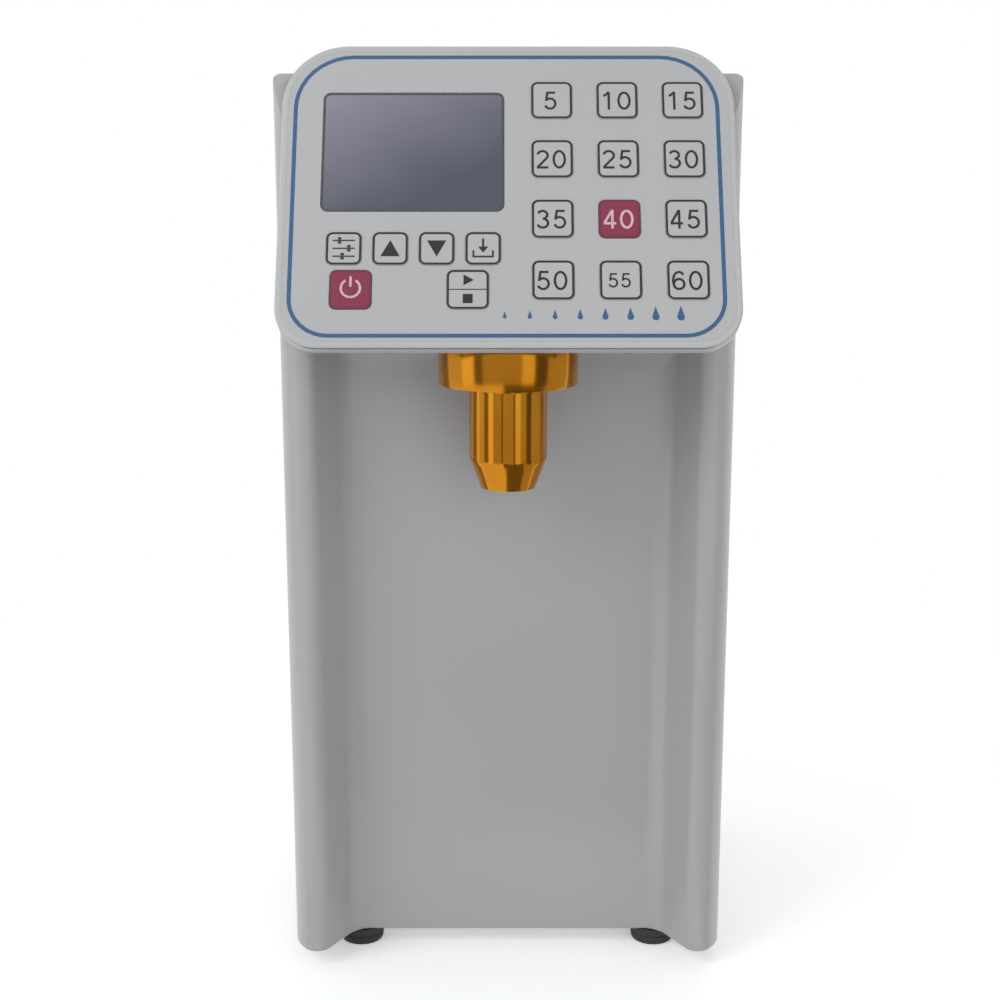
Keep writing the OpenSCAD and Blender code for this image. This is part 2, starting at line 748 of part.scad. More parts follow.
module pump_cover() {
    color([0.62, 0.63, 0.65]) {
        difference() {
            translate([cover_x, pump_y - pump_half, pump_low])
                cube([-gear_x - cover_x, 2 * pump_half, pump_high - pump_low]);
            for (z = [pump_z, pump_z + gear_step])
                along_x(-gear_x - blind - 0.2, pump_y, z)
                    cylinder(r = shaft_r + run_gap, h = blind + 2);
        }
        for (y = [-1, 1], z = [pump_low + 5, pump_high - 5])
            along_x(cover_x - 3, pump_y + y * (pump_half - 5), z)
                cylinder(r = screw_head_r, h = 3);
    }
}
module drive_gear() {
    color([0.80, 0.66, 0.35]) along_x(-gear_x + 0.1, pump_y, pump_z)
        linear_extrude(gear_w - 0.2) difference() {
            gear_shape(0);
            circle(shaft_r + 0.02);
        }
}
module drive_shaft() {
    color([0.72, 0.73, 0.75]) along_x(-gear_x - blind, pump_y, pump_z)
        cylinder(r = shaft_r, h = gear_x + blind + motor_x + 12);
}
module idler_gear() {
    color([0.80, 0.66, 0.35]) {
        along_x(-gear_x + 0.1, pump_y, pump_z + gear_step) linear_extrude(gear_w - 0.2)
            gear_shape(180 / gear_teeth);
        along_x(-gear_x - blind, pump_y, pump_z + gear_step)
            cylinder(r = shaft_r, h = gear_w + 2 * blind);
    }
}
module pump_motor() {
    gearbox_l = motor_l * 0.35;
    color([0.55, 0.56, 0.58]) difference() {
        union() {
            along_x(motor_x, pump_y, pump_z) cylinder(r = motor_r, h = gearbox_l);
            along_x(motor_x + gearbox_l, pump_y, pump_z)
                cylinder(r = motor_r - 1.5, h = motor_l - gearbox_l - 4);
            along_x(motor_x + motor_l - 4, pump_y, pump_z) cylinder(r = 8, h = 4);
        }
        along_x(motor_x - 1, pump_y, pump_z) cylinder(r = shaft_r + run_gap, h = 14);
    }
}
module motor_bracket() {
    foot_l = 34;
    color([0.60, 0.61, 0.63]) difference() {
        union() {
            translate([body_x, pump_y - pump_half, inside_z])
                cube([bracket_t, 2 * pump_half, pump_high - inside_z]);
            translate([body_x, pump_y - pump_half, inside_z])
                cube([foot_l, 2 * pump_half, bracket_t]);
        }
        along_x(body_x - 1, pump_y, pump_z) cylinder(r = shaft_r + 1.5, h = bracket_t + 2);
    }
}
module suction_hose() {
    color([0.80, 0.82, 0.82]) route([[0, pump_y + pump_half + 1, pump_mid],
        [0, outlet_y, pump_mid], [0, outlet_y, tank_floor_z - 2 - gap]],
        suction_bend, suction_r, suction_bore);
}
module delivery_hose() {
    color([0.80, 0.82, 0.82]) route([[0, pump_y - pump_half - 1, pump_mid],
        [0, delivery_y, pump_mid], [0, delivery_y, arch_z]], delivery_bend, hose_r, hose_bore);
    color([0.80, 0.82, 0.82]) translate([0, delivery_y - arch_r, arch_z])
        rotate([90, 0, 90]) rotate_extrude(angle = 180) translate([arch_r, 0]) difference() {
            circle(hose_r);
            circle(hose_bore);
        }
    color([0.80, 0.82, 0.82]) translate([0, nozzle_y, neck_top + 1])
        tube(hose_r, hose_bore, arch_z - neck_top - 1);
}
module clamp(r) {
    band = 6;
    difference() {
        union() {
            cylinder(r = r + 1, h = band);
            translate([-3, r, 0]) cube([6, 4, band]);
        }
        translate([0, 0, -1]) cylinder(r = r + run_gap, h = band + 2);
    }
}
module hose_clamps() {
    color([0.70, 0.71, 0.72]) {
        translate([0, pump_y - pump_half - 3, pump_mid]) rotate([90, 0, 0]) clamp(hose_r);
        translate([0, pump_y + pump_half + 3, pump_mid]) rotate([-90, 0, 0]) clamp(suction_r);
        translate([0, nozzle_y, neck_top + 4]) clamp(hose_r);
        translate([0, outlet_y, tank_floor_z - 14]) clamp(suction_r);
    }
}

// Power and wiring
supply_in = 10;             // gap between the supply and the shell's side
supply_x = -body_w / 2 + wall + supply_in;
supply_w = 62;
supply_d = 77;
supply_back_in = 9;         // gap between the supply and the rear feet's axes
supply_y = foot_rear_y - supply_back_in - supply_d;
supply_h = 42;
module power_supply() {
    color([0.70, 0.71, 0.73]) difference() {
        translate([supply_x, supply_y, inside_z]) cube([supply_w, supply_d, supply_h]);
        for (i = [0:8]) translate([supply_x + 8, supply_y + 14 + i * 8, inside_z + supply_h - 2])
            cube([supply_w - 16, 3, 3]);
    }
    color([0.10, 0.10, 0.11]) translate([supply_x + 6, supply_y - 10, inside_z])
        cube([supply_w - 12, 10, 14]);
}
loom_r = 2.5;
loom_bend = 10;
loom_x = 30;
module wire_loom() {
    board_z = panel_z + 10;
    color([0.15, 0.15, 0.16]) {
        route([[supply_x + 12, supply_y, inside_z + 28],
            [supply_x + 12, delivery_y, inside_z + 28],
            [supply_x + 12, delivery_y, board_z], [loom_x, delivery_y, board_z],
            [loom_x, plane_y(board_z + loom_r, board_w) + 0.1, board_z]], loom_bend, loom_r, 0.5);
        route([[supply_x + supply_w, supply_y + 70, inside_z + 20],
            [motor_x + motor_l + 6, supply_y + 70, inside_z + 20],
            [motor_x + motor_l + 6, pump_y, inside_z + 20],
            [motor_x + motor_l + 6, pump_y, pump_z + 8]], loom_bend, loom_r, 0.5);
    }
}

// Base
foot_places = [for (x = [-1, 1], y = [foot_front_y, foot_rear_y]) [x * foot_x, y]];
module base_plate() {
    color([0.62, 0.63, 0.64]) difference() {
        translate([0, 0, foot_h]) linear_extrude(base_t) polygon(ring(wall + gap));
        for (p = foot_places) translate([p.x, p.y, 0]) cylinder(r = foot_hole_r, h = far);
    }
}
module rubber_feet() {
    color([0.10, 0.10, 0.10]) for (p = foot_places) translate([p.x, p.y, 0]) difference() {
        cylinder(r1 = foot_r - foot_taper, r2 = foot_r, h = foot_h);
        translate([0, 0, -1]) cylinder(r = foot_head_r + 0.5, h = foot_h - foot_seat + 1);
        cylinder(r = foot_hole_r, h = 2 * foot_h);
    }
}
foot_screw_r = 2;
foot_hole_r = foot_screw_r + 0.2;
foot_head_r = 4;
foot_head_t = 2.5;
foot_seat = 3;              // rubber between the screw head and the base plate
foot_taper = 0.6;
module foot_screws() {
    nut_t = 2;
    color([0.70, 0.71, 0.73]) for (p = foot_places) translate([p.x, p.y, 0]) {
        translate([0, 0, foot_h - foot_seat - foot_head_t])
            cylinder(r = foot_head_r, h = foot_head_t);
        translate([0, 0, foot_h - foot_seat - 0.5])
            cylinder(r = foot_screw_r, h = foot_seat + base_t + nut_t + 1);
        translate([0, 0, inside_z]) cylinder(r = foot_head_r, h = nut_t, $fn = 6);
    }
}

// Back
socket_w = 24.5;
socket_h = 16.8;
socket_d = 16;
entry_w = 30;
entry_h = 52;
entry_d = 22;               // depth of the inlet's body
entry_drop = 12;            // body below the socket's middle
well_d = 11;                // depth of the well that the rocker swings in
rocker_z = inlet_z + 26;
rocker_w = 20;
rocker_h = 20.6;
pivot_y = back_y - 5.4;
module louvre_field(x) {
    pitch = 9;
    for (i = [0:louvre_rows - 1]) translate([x, cover_out_y, deck_z - 60 - i * pitch]) children();
}
module back_cover() {
    color([0.74, 0.75, 0.76]) {
        difference() {
            translate([-cover_half, shell_back_y, cover_low])
                cube([2 * cover_half, cover_t, cover_high - cover_low]);
            for (x = [-1, 1]) louvre_field(x * 48)
                translate([-louvre_w / 2, -cover_t - 1, 0]) cube([louvre_w, cover_t + 2, 3]);
            translate([inlet_x - entry_w / 2 - gap, shell_back_y - 1, inlet_z - entry_drop - gap])
                cube([entry_w + 2 * gap, cover_t + 2, entry_h + 2 * gap]);
            for (x = [-1, 1], z = screw_zs)
                translate([x * screw_x, shell_back_y + cover_t + 1, z]) rotate([90, 0, 0])
                    cylinder(r = screw_r + gap, h = cover_t + 2);
        }
        for (x = [-1, 1]) louvre_field(x * 48) rotate([0, 90, 0])
            linear_extrude(louvre_w, center = true)
                polygon([[-4.5, 0], [-3.4, 0], [-1, proud - 0.6], [-1, proud], [-1.4, proud]]);
    }
}
module power_inlet() {
    flange = 3;
    color([0.08, 0.08, 0.09]) difference() {
        union() {
            translate([inlet_x - entry_w / 2 - flange, cover_out_y, inlet_z - entry_drop - flange])
                cube([entry_w + 2 * flange, proud, entry_h + 2 * flange]);
            translate([inlet_x - entry_w / 2, back_y - entry_d, inlet_z - entry_drop])
                cube([entry_w, entry_d - proud / 2, entry_h]);
        }
        translate([inlet_x - socket_w / 2, back_y - socket_d, inlet_z - socket_h / 2])
            cube([socket_w, socket_d + 1, socket_h]);
        translate([inlet_x - rocker_w / 2, back_y - well_d, rocker_z - rocker_h / 2])
            cube([rocker_w, well_d + 1, rocker_h]);
        translate([inlet_x - rocker_w / 2 - 2.2, pivot_y, rocker_z]) rotate([0, 90, 0])
            cylinder(r = 1 + run_gap, h = rocker_w + 4.4);
    }
    color([0.75, 0.76, 0.78]) for (p = [[-7, -2], [0, 2], [7, -2]])
        translate([inlet_x + p.x - 1, back_y - socket_d - 0.5, inlet_z + p.y - 2])
            cube([2, 10, 4]);
}
module switch_rocker() {
    color([0.12, 0.12, 0.13]) translate([inlet_x, pivot_y, rocker_z]) rotate([0, 90, 0]) {
        rotate([0, 0, 10]) linear_extrude(rocker_w - 2 * gap, center = true)
            polygon([[-9.4, -3], [9.4, -3], [9.4, 3.2], [0, 1.9], [-9.4, 3.2]]);
        cylinder(r = 1, h = rocker_w + 4, center = true);
    }
}
module pan_screw(l) {
    cylinder(r = screw_head_r, h = proud - 0.4);
    translate([0, 0, proud - 0.4]) cylinder(r1 = screw_head_r, r2 = screw_head_r - 1, h = 0.4);
    translate([0, 0, -l]) cylinder(r = screw_r, h = l + 0.5);
}
module case_screws() {
    color([0.68, 0.69, 0.71]) {
        for (x = [-1, 1], z = screw_zs)
            translate([x * screw_x, cover_out_y, z]) rotate([-90, 0, 0]) pan_screw(cover_t + wall);
        for (x = [-1, 1])
            translate([x * head_screw_x, head_screw_y, head_z]) rotate([180, 0, 0])
                pan_screw(floor_t + 3);
    }
}

body_shell();
top_deck();
head_housing();
panel_bezel();
panel_overlay();
display_window();
display_module();
dome_sheet();
control_board();
number_key(0);  // key_5
number_key(1);  // key_10
number_key(2);  // key_15
number_key(3);  // key_20
number_key(4);  // key_25
number_key(5);  // key_30
number_key(6);  // key_35
number_key(7);  // key_40
number_key(8);  // key_45
number_key(9);  // key_50
number_key(10);  // key_55
number_key(11);  // key_60
small_key(0);  // key_set
small_key(1);  // key_up
small_key(2);  // key_down
small_key(3);  // key_store
key_power();
key_run_stop();
nozzle_collar();
nozzle_nut();
collar_seal();
nozzle_spout();
spout_o_ring();
valve_ball();
valve_spring();
reservoir_tank();
tank_gasket();
outlet_strainer();
heater_pad();
lid();
lid_seal();
lid_knob();
pump_body();
pump_cover();
drive_gear();
drive_shaft();
idler_gear();
pump_motor();
motor_bracket();
suction_hose();
delivery_hose();
hose_clamps();
power_supply();
wire_loom();
base_plate();
rubber_feet();
foot_screws();
back_cover();
power_inlet();
switch_rocker();
case_screws();
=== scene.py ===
import json
import math

import bmesh
import bpy
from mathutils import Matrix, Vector


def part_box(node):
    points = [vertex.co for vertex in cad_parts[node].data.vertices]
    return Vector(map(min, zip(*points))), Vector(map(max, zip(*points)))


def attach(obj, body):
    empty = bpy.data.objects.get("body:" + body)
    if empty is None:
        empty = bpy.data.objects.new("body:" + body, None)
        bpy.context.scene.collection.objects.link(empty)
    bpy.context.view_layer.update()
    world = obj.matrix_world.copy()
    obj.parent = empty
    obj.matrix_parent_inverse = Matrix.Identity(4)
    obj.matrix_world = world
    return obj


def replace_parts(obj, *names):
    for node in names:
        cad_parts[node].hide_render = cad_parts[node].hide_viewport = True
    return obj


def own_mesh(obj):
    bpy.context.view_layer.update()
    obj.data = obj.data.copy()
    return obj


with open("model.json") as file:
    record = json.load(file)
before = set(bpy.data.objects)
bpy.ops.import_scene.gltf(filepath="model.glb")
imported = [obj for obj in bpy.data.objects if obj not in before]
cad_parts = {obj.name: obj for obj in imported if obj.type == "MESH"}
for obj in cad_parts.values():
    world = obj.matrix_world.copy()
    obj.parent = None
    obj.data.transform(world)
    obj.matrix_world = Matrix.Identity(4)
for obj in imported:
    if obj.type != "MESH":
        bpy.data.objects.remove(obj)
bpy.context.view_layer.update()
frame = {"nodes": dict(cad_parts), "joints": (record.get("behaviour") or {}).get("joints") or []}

MM = 0.001
scene = bpy.context.scene
nodes = frame["nodes"]

# Camera, at the photograph's viewing angle
camera = bpy.data.objects.new("camera", bpy.data.cameras.new("camera"))
scene.collection.objects.link(camera)
camera.location = (-0.004, -0.8755, 0.431)
camera.rotation_euler = (math.radians(77.8), 0.0, 0.0)
camera.data.sensor_width = 36.0
camera.data.lens = 58.41
scene.camera = camera

# Places that the frame gives
shell_low, shell_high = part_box("body_shell")
bezel_low, bezel_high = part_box("panel_bezel")
collar_low, collar_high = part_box("nozzle_collar")
spout_low, spout_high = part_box("nozzle_spout")
deck_low, deck_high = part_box("top_deck")
head_low, head_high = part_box("head_housing")
tank_low, tank_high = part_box("reservoir_tank")
lid_low, lid_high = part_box("lid")
knob_low, knob_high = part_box("lid_knob")
cover_low, cover_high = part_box("back_cover")
window_low, window_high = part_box("display_window")

# The panel's own frame: u to the right, v up the slope, w out of its face


def joint_of(name):
    return next(j for j in frame["joints"] if j["name"] == name)


press = joint_of("key_5_press")["axis"]
lean = math.asin(-press[2])
PANEL_W = bezel_high.x - bezel_low.x
PANEL_L = 156 * MM
BEZEL_T = 7.5 * MM
U = Vector((1, 0, 0))
V = Vector((0, math.sin(lean), math.cos(lean)))
W = Vector((0, -math.cos(lean), math.sin(lean)))
panel = (bezel_low + bezel_high) / 2 + W * BEZEL_T / 2


def on_panel(u, v, w=0.0):
    return panel + U * u + V * v + W * w


def panel_place(low, high):
    """(u, v) of the middle of a node that lies in the panel."""
    away = (low + high) / 2 - panel
    return away.dot(U), away.dot(V)


def plane_y(z, w):
    """Y of the panel's plane w at height z."""
    return panel.y + (z - panel.z) * math.tan(lean) - w / math.cos(lean)


def plane_z(y, w):
    """Height of the panel's plane w at y."""
    return panel.z + (y - panel.y + w / math.cos(lean)) / math.tan(lean)


# Outlines
def middle(low, high):
    """The middle of a box, as (x, y, z)."""
    return [(a + b) / 2 for a, b in zip(low, high)]


def arc(cx, cy, r, start, end, steps):
    """Points of an arc, with angles in degrees."""
    angles = [math.radians(start + (end - start) * i / steps) for i in range(steps + 1)]
    return [(cx + r * math.cos(a), cy + r * math.sin(a)) for a in angles]


def off(a, b, *pairs):
    """Pairs about (a, b), given in mm."""
    return [(a + x * MM, b + y * MM) for x, y in pairs]


def at_height(line, z, dy=0.0):
    return [(x, y + dy, z) for x, y in line]


def between(p, q, steps):
    """Points strictly between p and q."""
    return [tuple(Vector(p).lerp(Vector(q), i / steps)) for i in range(1, steps)]


def rounded(w, h, radii, steps=8):
    """A rectangle about the origin, anticlockwise from its lower right corner.
    radii is one radius, or those of the lower and the upper corners."""
    low, top = radii if isinstance(radii, tuple) else (radii, radii)
    x, y = w / 2, h / 2
    return (
        arc(x - low, low - y, low, -90, 0, steps)
        + arc(x - top, y - top, top, 0, 90, steps)
        + arc(top - x, y - top, top, 90, 180, steps)
        + arc(low - x, low - y, low, 180, 270, steps)
    )


def bend(radius, steps, z, up=True):
    """Rows (height, inset) of a rounded edge that ends at height z. The lower row is full width
    if up, and the upper one otherwise."""
    rows = []
    for i in range(steps + 1):
        a = math.pi / 2 * i / steps
        rise, back = radius * (1 - math.sin(a)), radius * (1 - math.cos(a))
        rows.append((z - rise, back) if up else (z + back, rise))
    return rows


# Mesh helpers
def made_of(name, bm, material):
    """An object with the bmesh as its mesh."""
    mesh = bpy.data.meshes.new(name)
    bm.to_mesh(mesh)
    bm.free()
    thing = bpy.data.objects.new(name, mesh)
    scene.collection.objects.link(thing)
    mesh.materials.append(material)
    return thing


def tidy_up(bm):
    bmesh.ops.remove_doubles(bm, verts=bm.verts, dist=1e-7)
    bmesh.ops.recalc_face_normals(bm, faces=bm.faces)


def shade(piece, smooth):
    """Smooth shading, with edges sharper than smooth degrees kept."""
    for face in piece.data.polygons:
        face.use_smooth = True
    piece.data.set_sharp_from_angle(angle=math.radians(smooth))


def finish_mesh(name, bm, material, body="root", smooth=35):
    """Turns a bmesh into a piece that rides on a body."""
    tidy_up(bm)
    piece = made_of(name, bm, material)
    shade(piece, smooth)
    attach(piece, body)
    return piece


def band(bm, a, b, closed=True):
    """Quads between two rings of vertices."""
    for i in range(len(a) if closed else len(a) - 1):
        j = (i + 1) % len(a)
        bm.faces.new((a[i], a[j], b[j], b[i]))


def loft(bm, loops, closed=True, cap_start=False, cap_end=False):
    """Joins loops of 3-D points, each as long as the first, with quads."""
    rings = [[bm.verts.new(p) for p in loop] for loop in loops]
    for a, b in zip(rings, rings[1:]):
        band(bm, a, b, closed)
    if cap_start:
        bm.faces.new(rings[0])
    if cap_end:
        bm.faces.new(rings[-1])
    return rings


def walls(bm, stacks, first, last):
    """Lofts each stack of loops, and adds its end rings to the lists first and last."""
    for loops in stacks:
        rings = loft(bm, loops)
        first.append(rings[0])
        last.append(rings[-1])


def fill(bm, rings, normal):
    """A flat face inside the first ring, with the other rings as holes."""
    pairs = [pair for ring in rings for pair in zip(ring, ring[1:] + ring[:1])]
    edges = [bm.edges.get(pair) or bm.edges.new(pair) for pair in pairs]
    bmesh.ops.triangle_fill(bm, use_beauty=True, use_dissolve=False, edges=edges, normal=normal)


def lathe(bm, profile, centre, steps, flute=None, caps=False):
    """Turns a profile of (radius, z) about the vertical through centre. flute(radius, z, angle)
    may give another radius."""
    loops = []
    for r, z in profile:
        loop = []
        for i in range(steps):
            a = 2 * math.pi * i / steps
            rr = flute(r, z, a) if flute else r
            loop.append((centre[0] + rr * math.cos(a), centre[1] + rr * math.sin(a), z))
        loops.append(loop)
    return loft(bm, loops, True, caps, caps)


# Materials
def shader(name):
    """A new material with its node tree and its main shader."""
    material = bpy.data.materials.new(name)
    material.use_nodes = True
    tree = material.node_tree
    return material, tree, tree.nodes["Principled BSDF"]


def put(tree, kind, links=(), **settings):
    """Adds a shader node. links maps its inputs, by name or number, to a socket or a value."""
    node = tree.nodes.new("ShaderNode" + kind)
    for key, value in settings.items():
        setattr(node, key, value)
    for key, value in dict(links).items():
        if isinstance(value, bpy.types.NodeSocket):
            tree.links.new(value, node.inputs[key])
        else:
            node.inputs[key].default_value = value
    return node


def noise(tree, scale, detail=3.0, stretch=(1, 1, 1), rough=0.55):
    """Noise in the object's own space, at scale cycles a metre."""
    place = put(tree, "TexCoord").outputs["Object"]
    mapped = put(tree, "Mapping", {"Vector": place, "Scale": stretch})
    made = put(tree, "TexNoise",
               {"Vector": mapped.outputs[0], "Scale": scale, "Detail": detail, "Roughness": rough})
    return made.outputs["Fac"]


def spread(tree, value, low, high, start=0.3, end=0.7):
    """Maps a noise value to the range low..high."""
    made = put(tree, "MapRange",
               {"Value": value, "From Min": start, "From Max": end, "To Min": low, "To Max": high})
    return made.outputs["Result"]


def tinted(tree, value, dark, light):
    """Mixes two colours by a value."""
    mix = put(tree, "Mix", data_type="RGBA")
    tree.links.new(value, mix.inputs["Factor"])
    mix.inputs["A"].default_value = (*dark, 1)
    mix.inputs["B"].default_value = (*light, 1)
    return mix.outputs["Result"]


def surface(tree, bsdf, colour, gloss, height, depth, metallic=0.0):
    """Links a surface's colour and roughness, and its bumps of a depth in metres."""
    made = put(tree, "Bump", {"Height": height, "Distance": depth, "Strength": 1.0})
    for name, socket in (("Base Color", colour), ("Roughness", gloss),
                         ("Normal", made.outputs["Normal"])):
        tree.links.new(socket, bsdf.inputs[name])
    bsdf.inputs["Metallic"].default_value = metallic


def coat_on(bsdf, weight, rough):
    bsdf.inputs["Coat Weight"].default_value = weight
    bsdf.inputs["Coat Roughness"].default_value = rough


def maths(tree, operation, a, b):
    return put(tree, "Math", {0: a, 1: b}, operation=operation).outputs[0]


def moulded(name, colour, rough, change=0.05, grain=900, depth=0.00002, coat=0.0):
    """Moulded plastic or rubber: a fine skin, slow tone changes and areas of other gloss."""
    material, tree, bsdf = shader(name)
    slow = noise(tree, 9, 1)
    tone = spread(tree, slow, 0, 1, 0.2, 0.8)
    dark = [c * (1 - change) for c in colour]
    light = [c * (1 + change) for c in colour]
    patch = noise(tree, 22, 2, rough=0.4)
    surface(tree, bsdf, tinted(tree, tone, dark, light),
            spread(tree, patch, rough - 0.03, rough + 0.03, 0.1, 0.9),
            noise(tree, grain, 2), depth)
    coat_on(bsdf, coat, 0.2)
    return material


def metal(name, colour, rough, along=(1, 1, 1), grain=700, depth=0.00001, change=0.08):
    """Bare metal. along is the stretch of the grain, small along the brush lines."""
    material, tree, bsdf = shader(name)
    lines = noise(tree, grain, 4, along)
    dark = [c * (1 - change) for c in colour]
    light = [min(1, c * (1 + change)) for c in colour]
    surface(tree, bsdf, tinted(tree, spread(tree, lines, 0, 1), dark, light),
            spread(tree, lines, rough * 0.75, rough * 1.3), lines, depth, 1.0)
    return material


def ink(name, colour, rough=0.45):
    """Screen-printed ink, slightly uneven."""
    material, tree, bsdf = shader(name)
    mottle = spread(tree, noise(tree, 900, 3), 0, 1)
    dark = [c * 0.86 for c in colour]
    light = [min(1, c * 1.14 + 0.004) for c in colour]
    surface(tree, bsdf, tinted(tree, mottle, dark, light),
            spread(tree, noise(tree, 300, 3), rough - 0.06, rough + 0.06),
            noise(tree, 2500, 2), 0.000004)
    return material


def display_glass():
    """Smoked display glass over an unlit screen, with a painted reflection that makes it paler at
    the upper left.
    """
    material, tree, bsdf = shader("display_glass")
    place = put(tree, "TexCoord").outputs["Object"]
    split = put(tree, "SeparateXYZ", {"Vector": place})
    # Painted reflection: the colour pales towards the upper left, where a glare lies, with a little
    # random mottle on top.
    across = spread(tree, split.outputs["X"], 0.0, 0.6, window_low.x, window_high.x)
    down = spread(tree, split.outputs["Z"], 0.0, 0.8, window_high.z, window_low.z)
    painted_glare_and_mottle = maths(tree, "ADD", spread(tree, noise(tree, 25, 2), -0.05, 0.05),
                   maths(tree, "ADD", across, down))
    surface(tree, bsdf, tinted(tree, painted_glare_and_mottle, (0.215, 0.20, 0.255), (0.036, 0.046, 0.072)),
            spread(tree, noise(tree, 120, 3), 0.10, 0.20), noise(tree, 60, 2), 0.00001)
    coat_on(bsdf, 0.6, 0.05)
    return material


def gold_metal():
    """Gold anodised aluminium with turning lines round the vertical axis."""
    material, tree, bsdf = shader("gold_anodised")
    lines = noise(tree, 1500, 2, (0.04, 0.04, 4.0))
    cloud = spread(tree, noise(tree, 50, 1), 0, 1)
    surface(tree, bsdf, tinted(tree, cloud, (0.76, 0.29, 0.018), (0.80, 0.335, 0.028)),
            spread(tree, lines, 0.13, 0.19), lines, 0.000004, 1.0)
    return material


PALE = (0.40, 0.40, 0.398)
shell_paint = moulded("shell_plastic", (0.36, 0.36, 0.36), 0.30, 0.03, coat=0.2)
bezel_plastic = moulded("bezel_plastic", (0.42, 0.423, 0.425), 0.36, 0.03)
# Near-black paint for the bezel's seam groove: a painted shadow, not a rubber strip.
seam_painted_shadow = moulded("seam_shadow_paint", (0.030, 0.030, 0.031), 0.6, 0.1, 1400, 0.00003)
overlay_film = moulded("overlay_film", PALE, 0.38, 0.025, 2600, 0.000006)
key_film = moulded("key_film", PALE, 0.36, 0.03, 2600, 0.000006)
red_film = moulded("red_film", (0.205, 0.015, 0.048), 0.36, 0.06, 2600, 0.000006)
black_ink = ink("black_ink", (0.0045, 0.005, 0.006))
wine_ink = ink("wine_ink", (0.115, 0.016, 0.040))
pink_ink = ink("pink_ink", (0.60, 0.38, 0.44))
window_ink = ink("window_ink", (0.050, 0.054, 0.060), 0.3)
blue_ink = ink("blue_ink", (0.024, 0.090, 0.20))
glass = display_glass()
gold = gold_metal()
rubber = moulded("foot_rubber", (0.022, 0.022, 0.023), 0.62, 0.15, 1400, 0.00004)
dark_plastic = moulded("dark_plastic", (0.026, 0.026, 0.028), 0.42, 0.10, 1600, 0.00004)
cover_paint = moulded("cover_paint", (0.38, 0.382, 0.388), 0.42, 0.03, 1500, 0.00005)
lid_metal = metal("lid_steel", (0.66, 0.665, 0.67), 0.26, (0.02, 1, 1), 1600)
turned_steel = metal("turned_steel", (0.62, 0.62, 0.63), 0.24)
# Darker than plain steel: painted shade for the two screw heads under the head, which the eight at
# the back share.
screw_metal_painted_shade = metal("screw_metal_painted_shade", (0.30, 0.30, 0.31), 0.38, grain=300)
plated_steel = metal("plated_steel", (0.66, 0.66, 0.66), 0.30, grain=300)


# Body
WALL = 3 * MM
NOSE_R = 8 * MM
NOSE_IN = 12.5 * MM
SIDE_R = 24 * MM
FLANK = 60
COVE_R = 14 * MM
BAY_D = 26.7 * MM
BAY_TOP_R = 22 * MM
BACK_R = 8 * MM
FLANGE_W = 12 * MM
COVER_T = 1.5 * MM
HEAD_R = 14 * MM
SKIN = 0.05 * MM

half = shell_high.x
crest_y = shell_low.y
bay_y = crest_y + BAY_D
rear_y = shell_high.y
head_z = head_low.z
nose_x = half - NOSE_IN
nose_y = crest_y + NOSE_R
side_x = half - SIDE_R
side_y = nose_y + math.sqrt((SIDE_R - NOSE_R) ** 2 - (SIDE_R - NOSE_IN) ** 2)
nose_end = math.degrees(math.atan2(nose_y - side_y, nose_x - side_x))
flank_x = nose_x - NOSE_R * math.sin(math.radians(FLANK))
flank_y = nose_y - NOSE_R * math.cos(math.radians(FLANK))
flank_run = (bay_y - COVE_R + COVE_R * math.cos(math.radians(FLANK)) - flank_y) \
    / math.sin(math.radians(FLANK))
cove_x = flank_x - flank_run * math.cos(math.radians(FLANK)) \
    - COVE_R * math.sin(math.radians(FLANK))
cove_y = bay_y - COVE_R
rear_x = half - BACK_R
BEHIND = -BEZEL_T - SKIN  # where the body's skins end, behind the bezel
cut_y = plane_y(shell_high.z, BEHIND)
cut_a = math.degrees(math.asin((cut_y - side_y) / SIDE_R))


def bay_side(inset):
    """From the back of the bay round the cove and up the flank to the pillar's crest."""
    cove = arc(cove_x, cove_y, COVE_R + inset, 90, 90 - FLANK, 12)
    nose = arc(nose_x, nose_y, NOSE_R - inset, -90 - FLANK, -90, 8)
    return cove + between(cove[-1], nose[0], 5) + nose


def outer_side(inset):
    """From just past the crest round the side to the end of the rear flange."""
    nose = arc(nose_x, nose_y, NOSE_R - inset, -90, nose_end, 7)[1:]
    side = arc(side_x, side_y, SIDE_R - inset, nose_end, cut_a, 5)[1:]
    side += arc(side_x, side_y, SIDE_R - inset, cut_a, 0, 5)[1:]
    rear = arc(rear_x, rear_y - BACK_R, BACK_R - inset, 0, 90, 8)
    flange = [(half - FLANGE_W, rear_y - inset)]
    return nose + side + between(side[-1], rear[0], 3) + rear + flange


def head_under(x):
    """Height of the head's underside, which curves up at its sides."""
    over = min(HEAD_R, max(0.0, abs(x) - (nose_x - HEAD_R)))
    return head_z + HEAD_R - math.sqrt(HEAD_R ** 2 - over ** 2)


def soft_min(a, b, k):
    """The lesser of two values, with a rounded change-over of width k."""
    if k <= 0:
        return min(a, b)
    h = max(k - abs(a - b), 0) / k
    return min(a, b) - h * h * k / 4


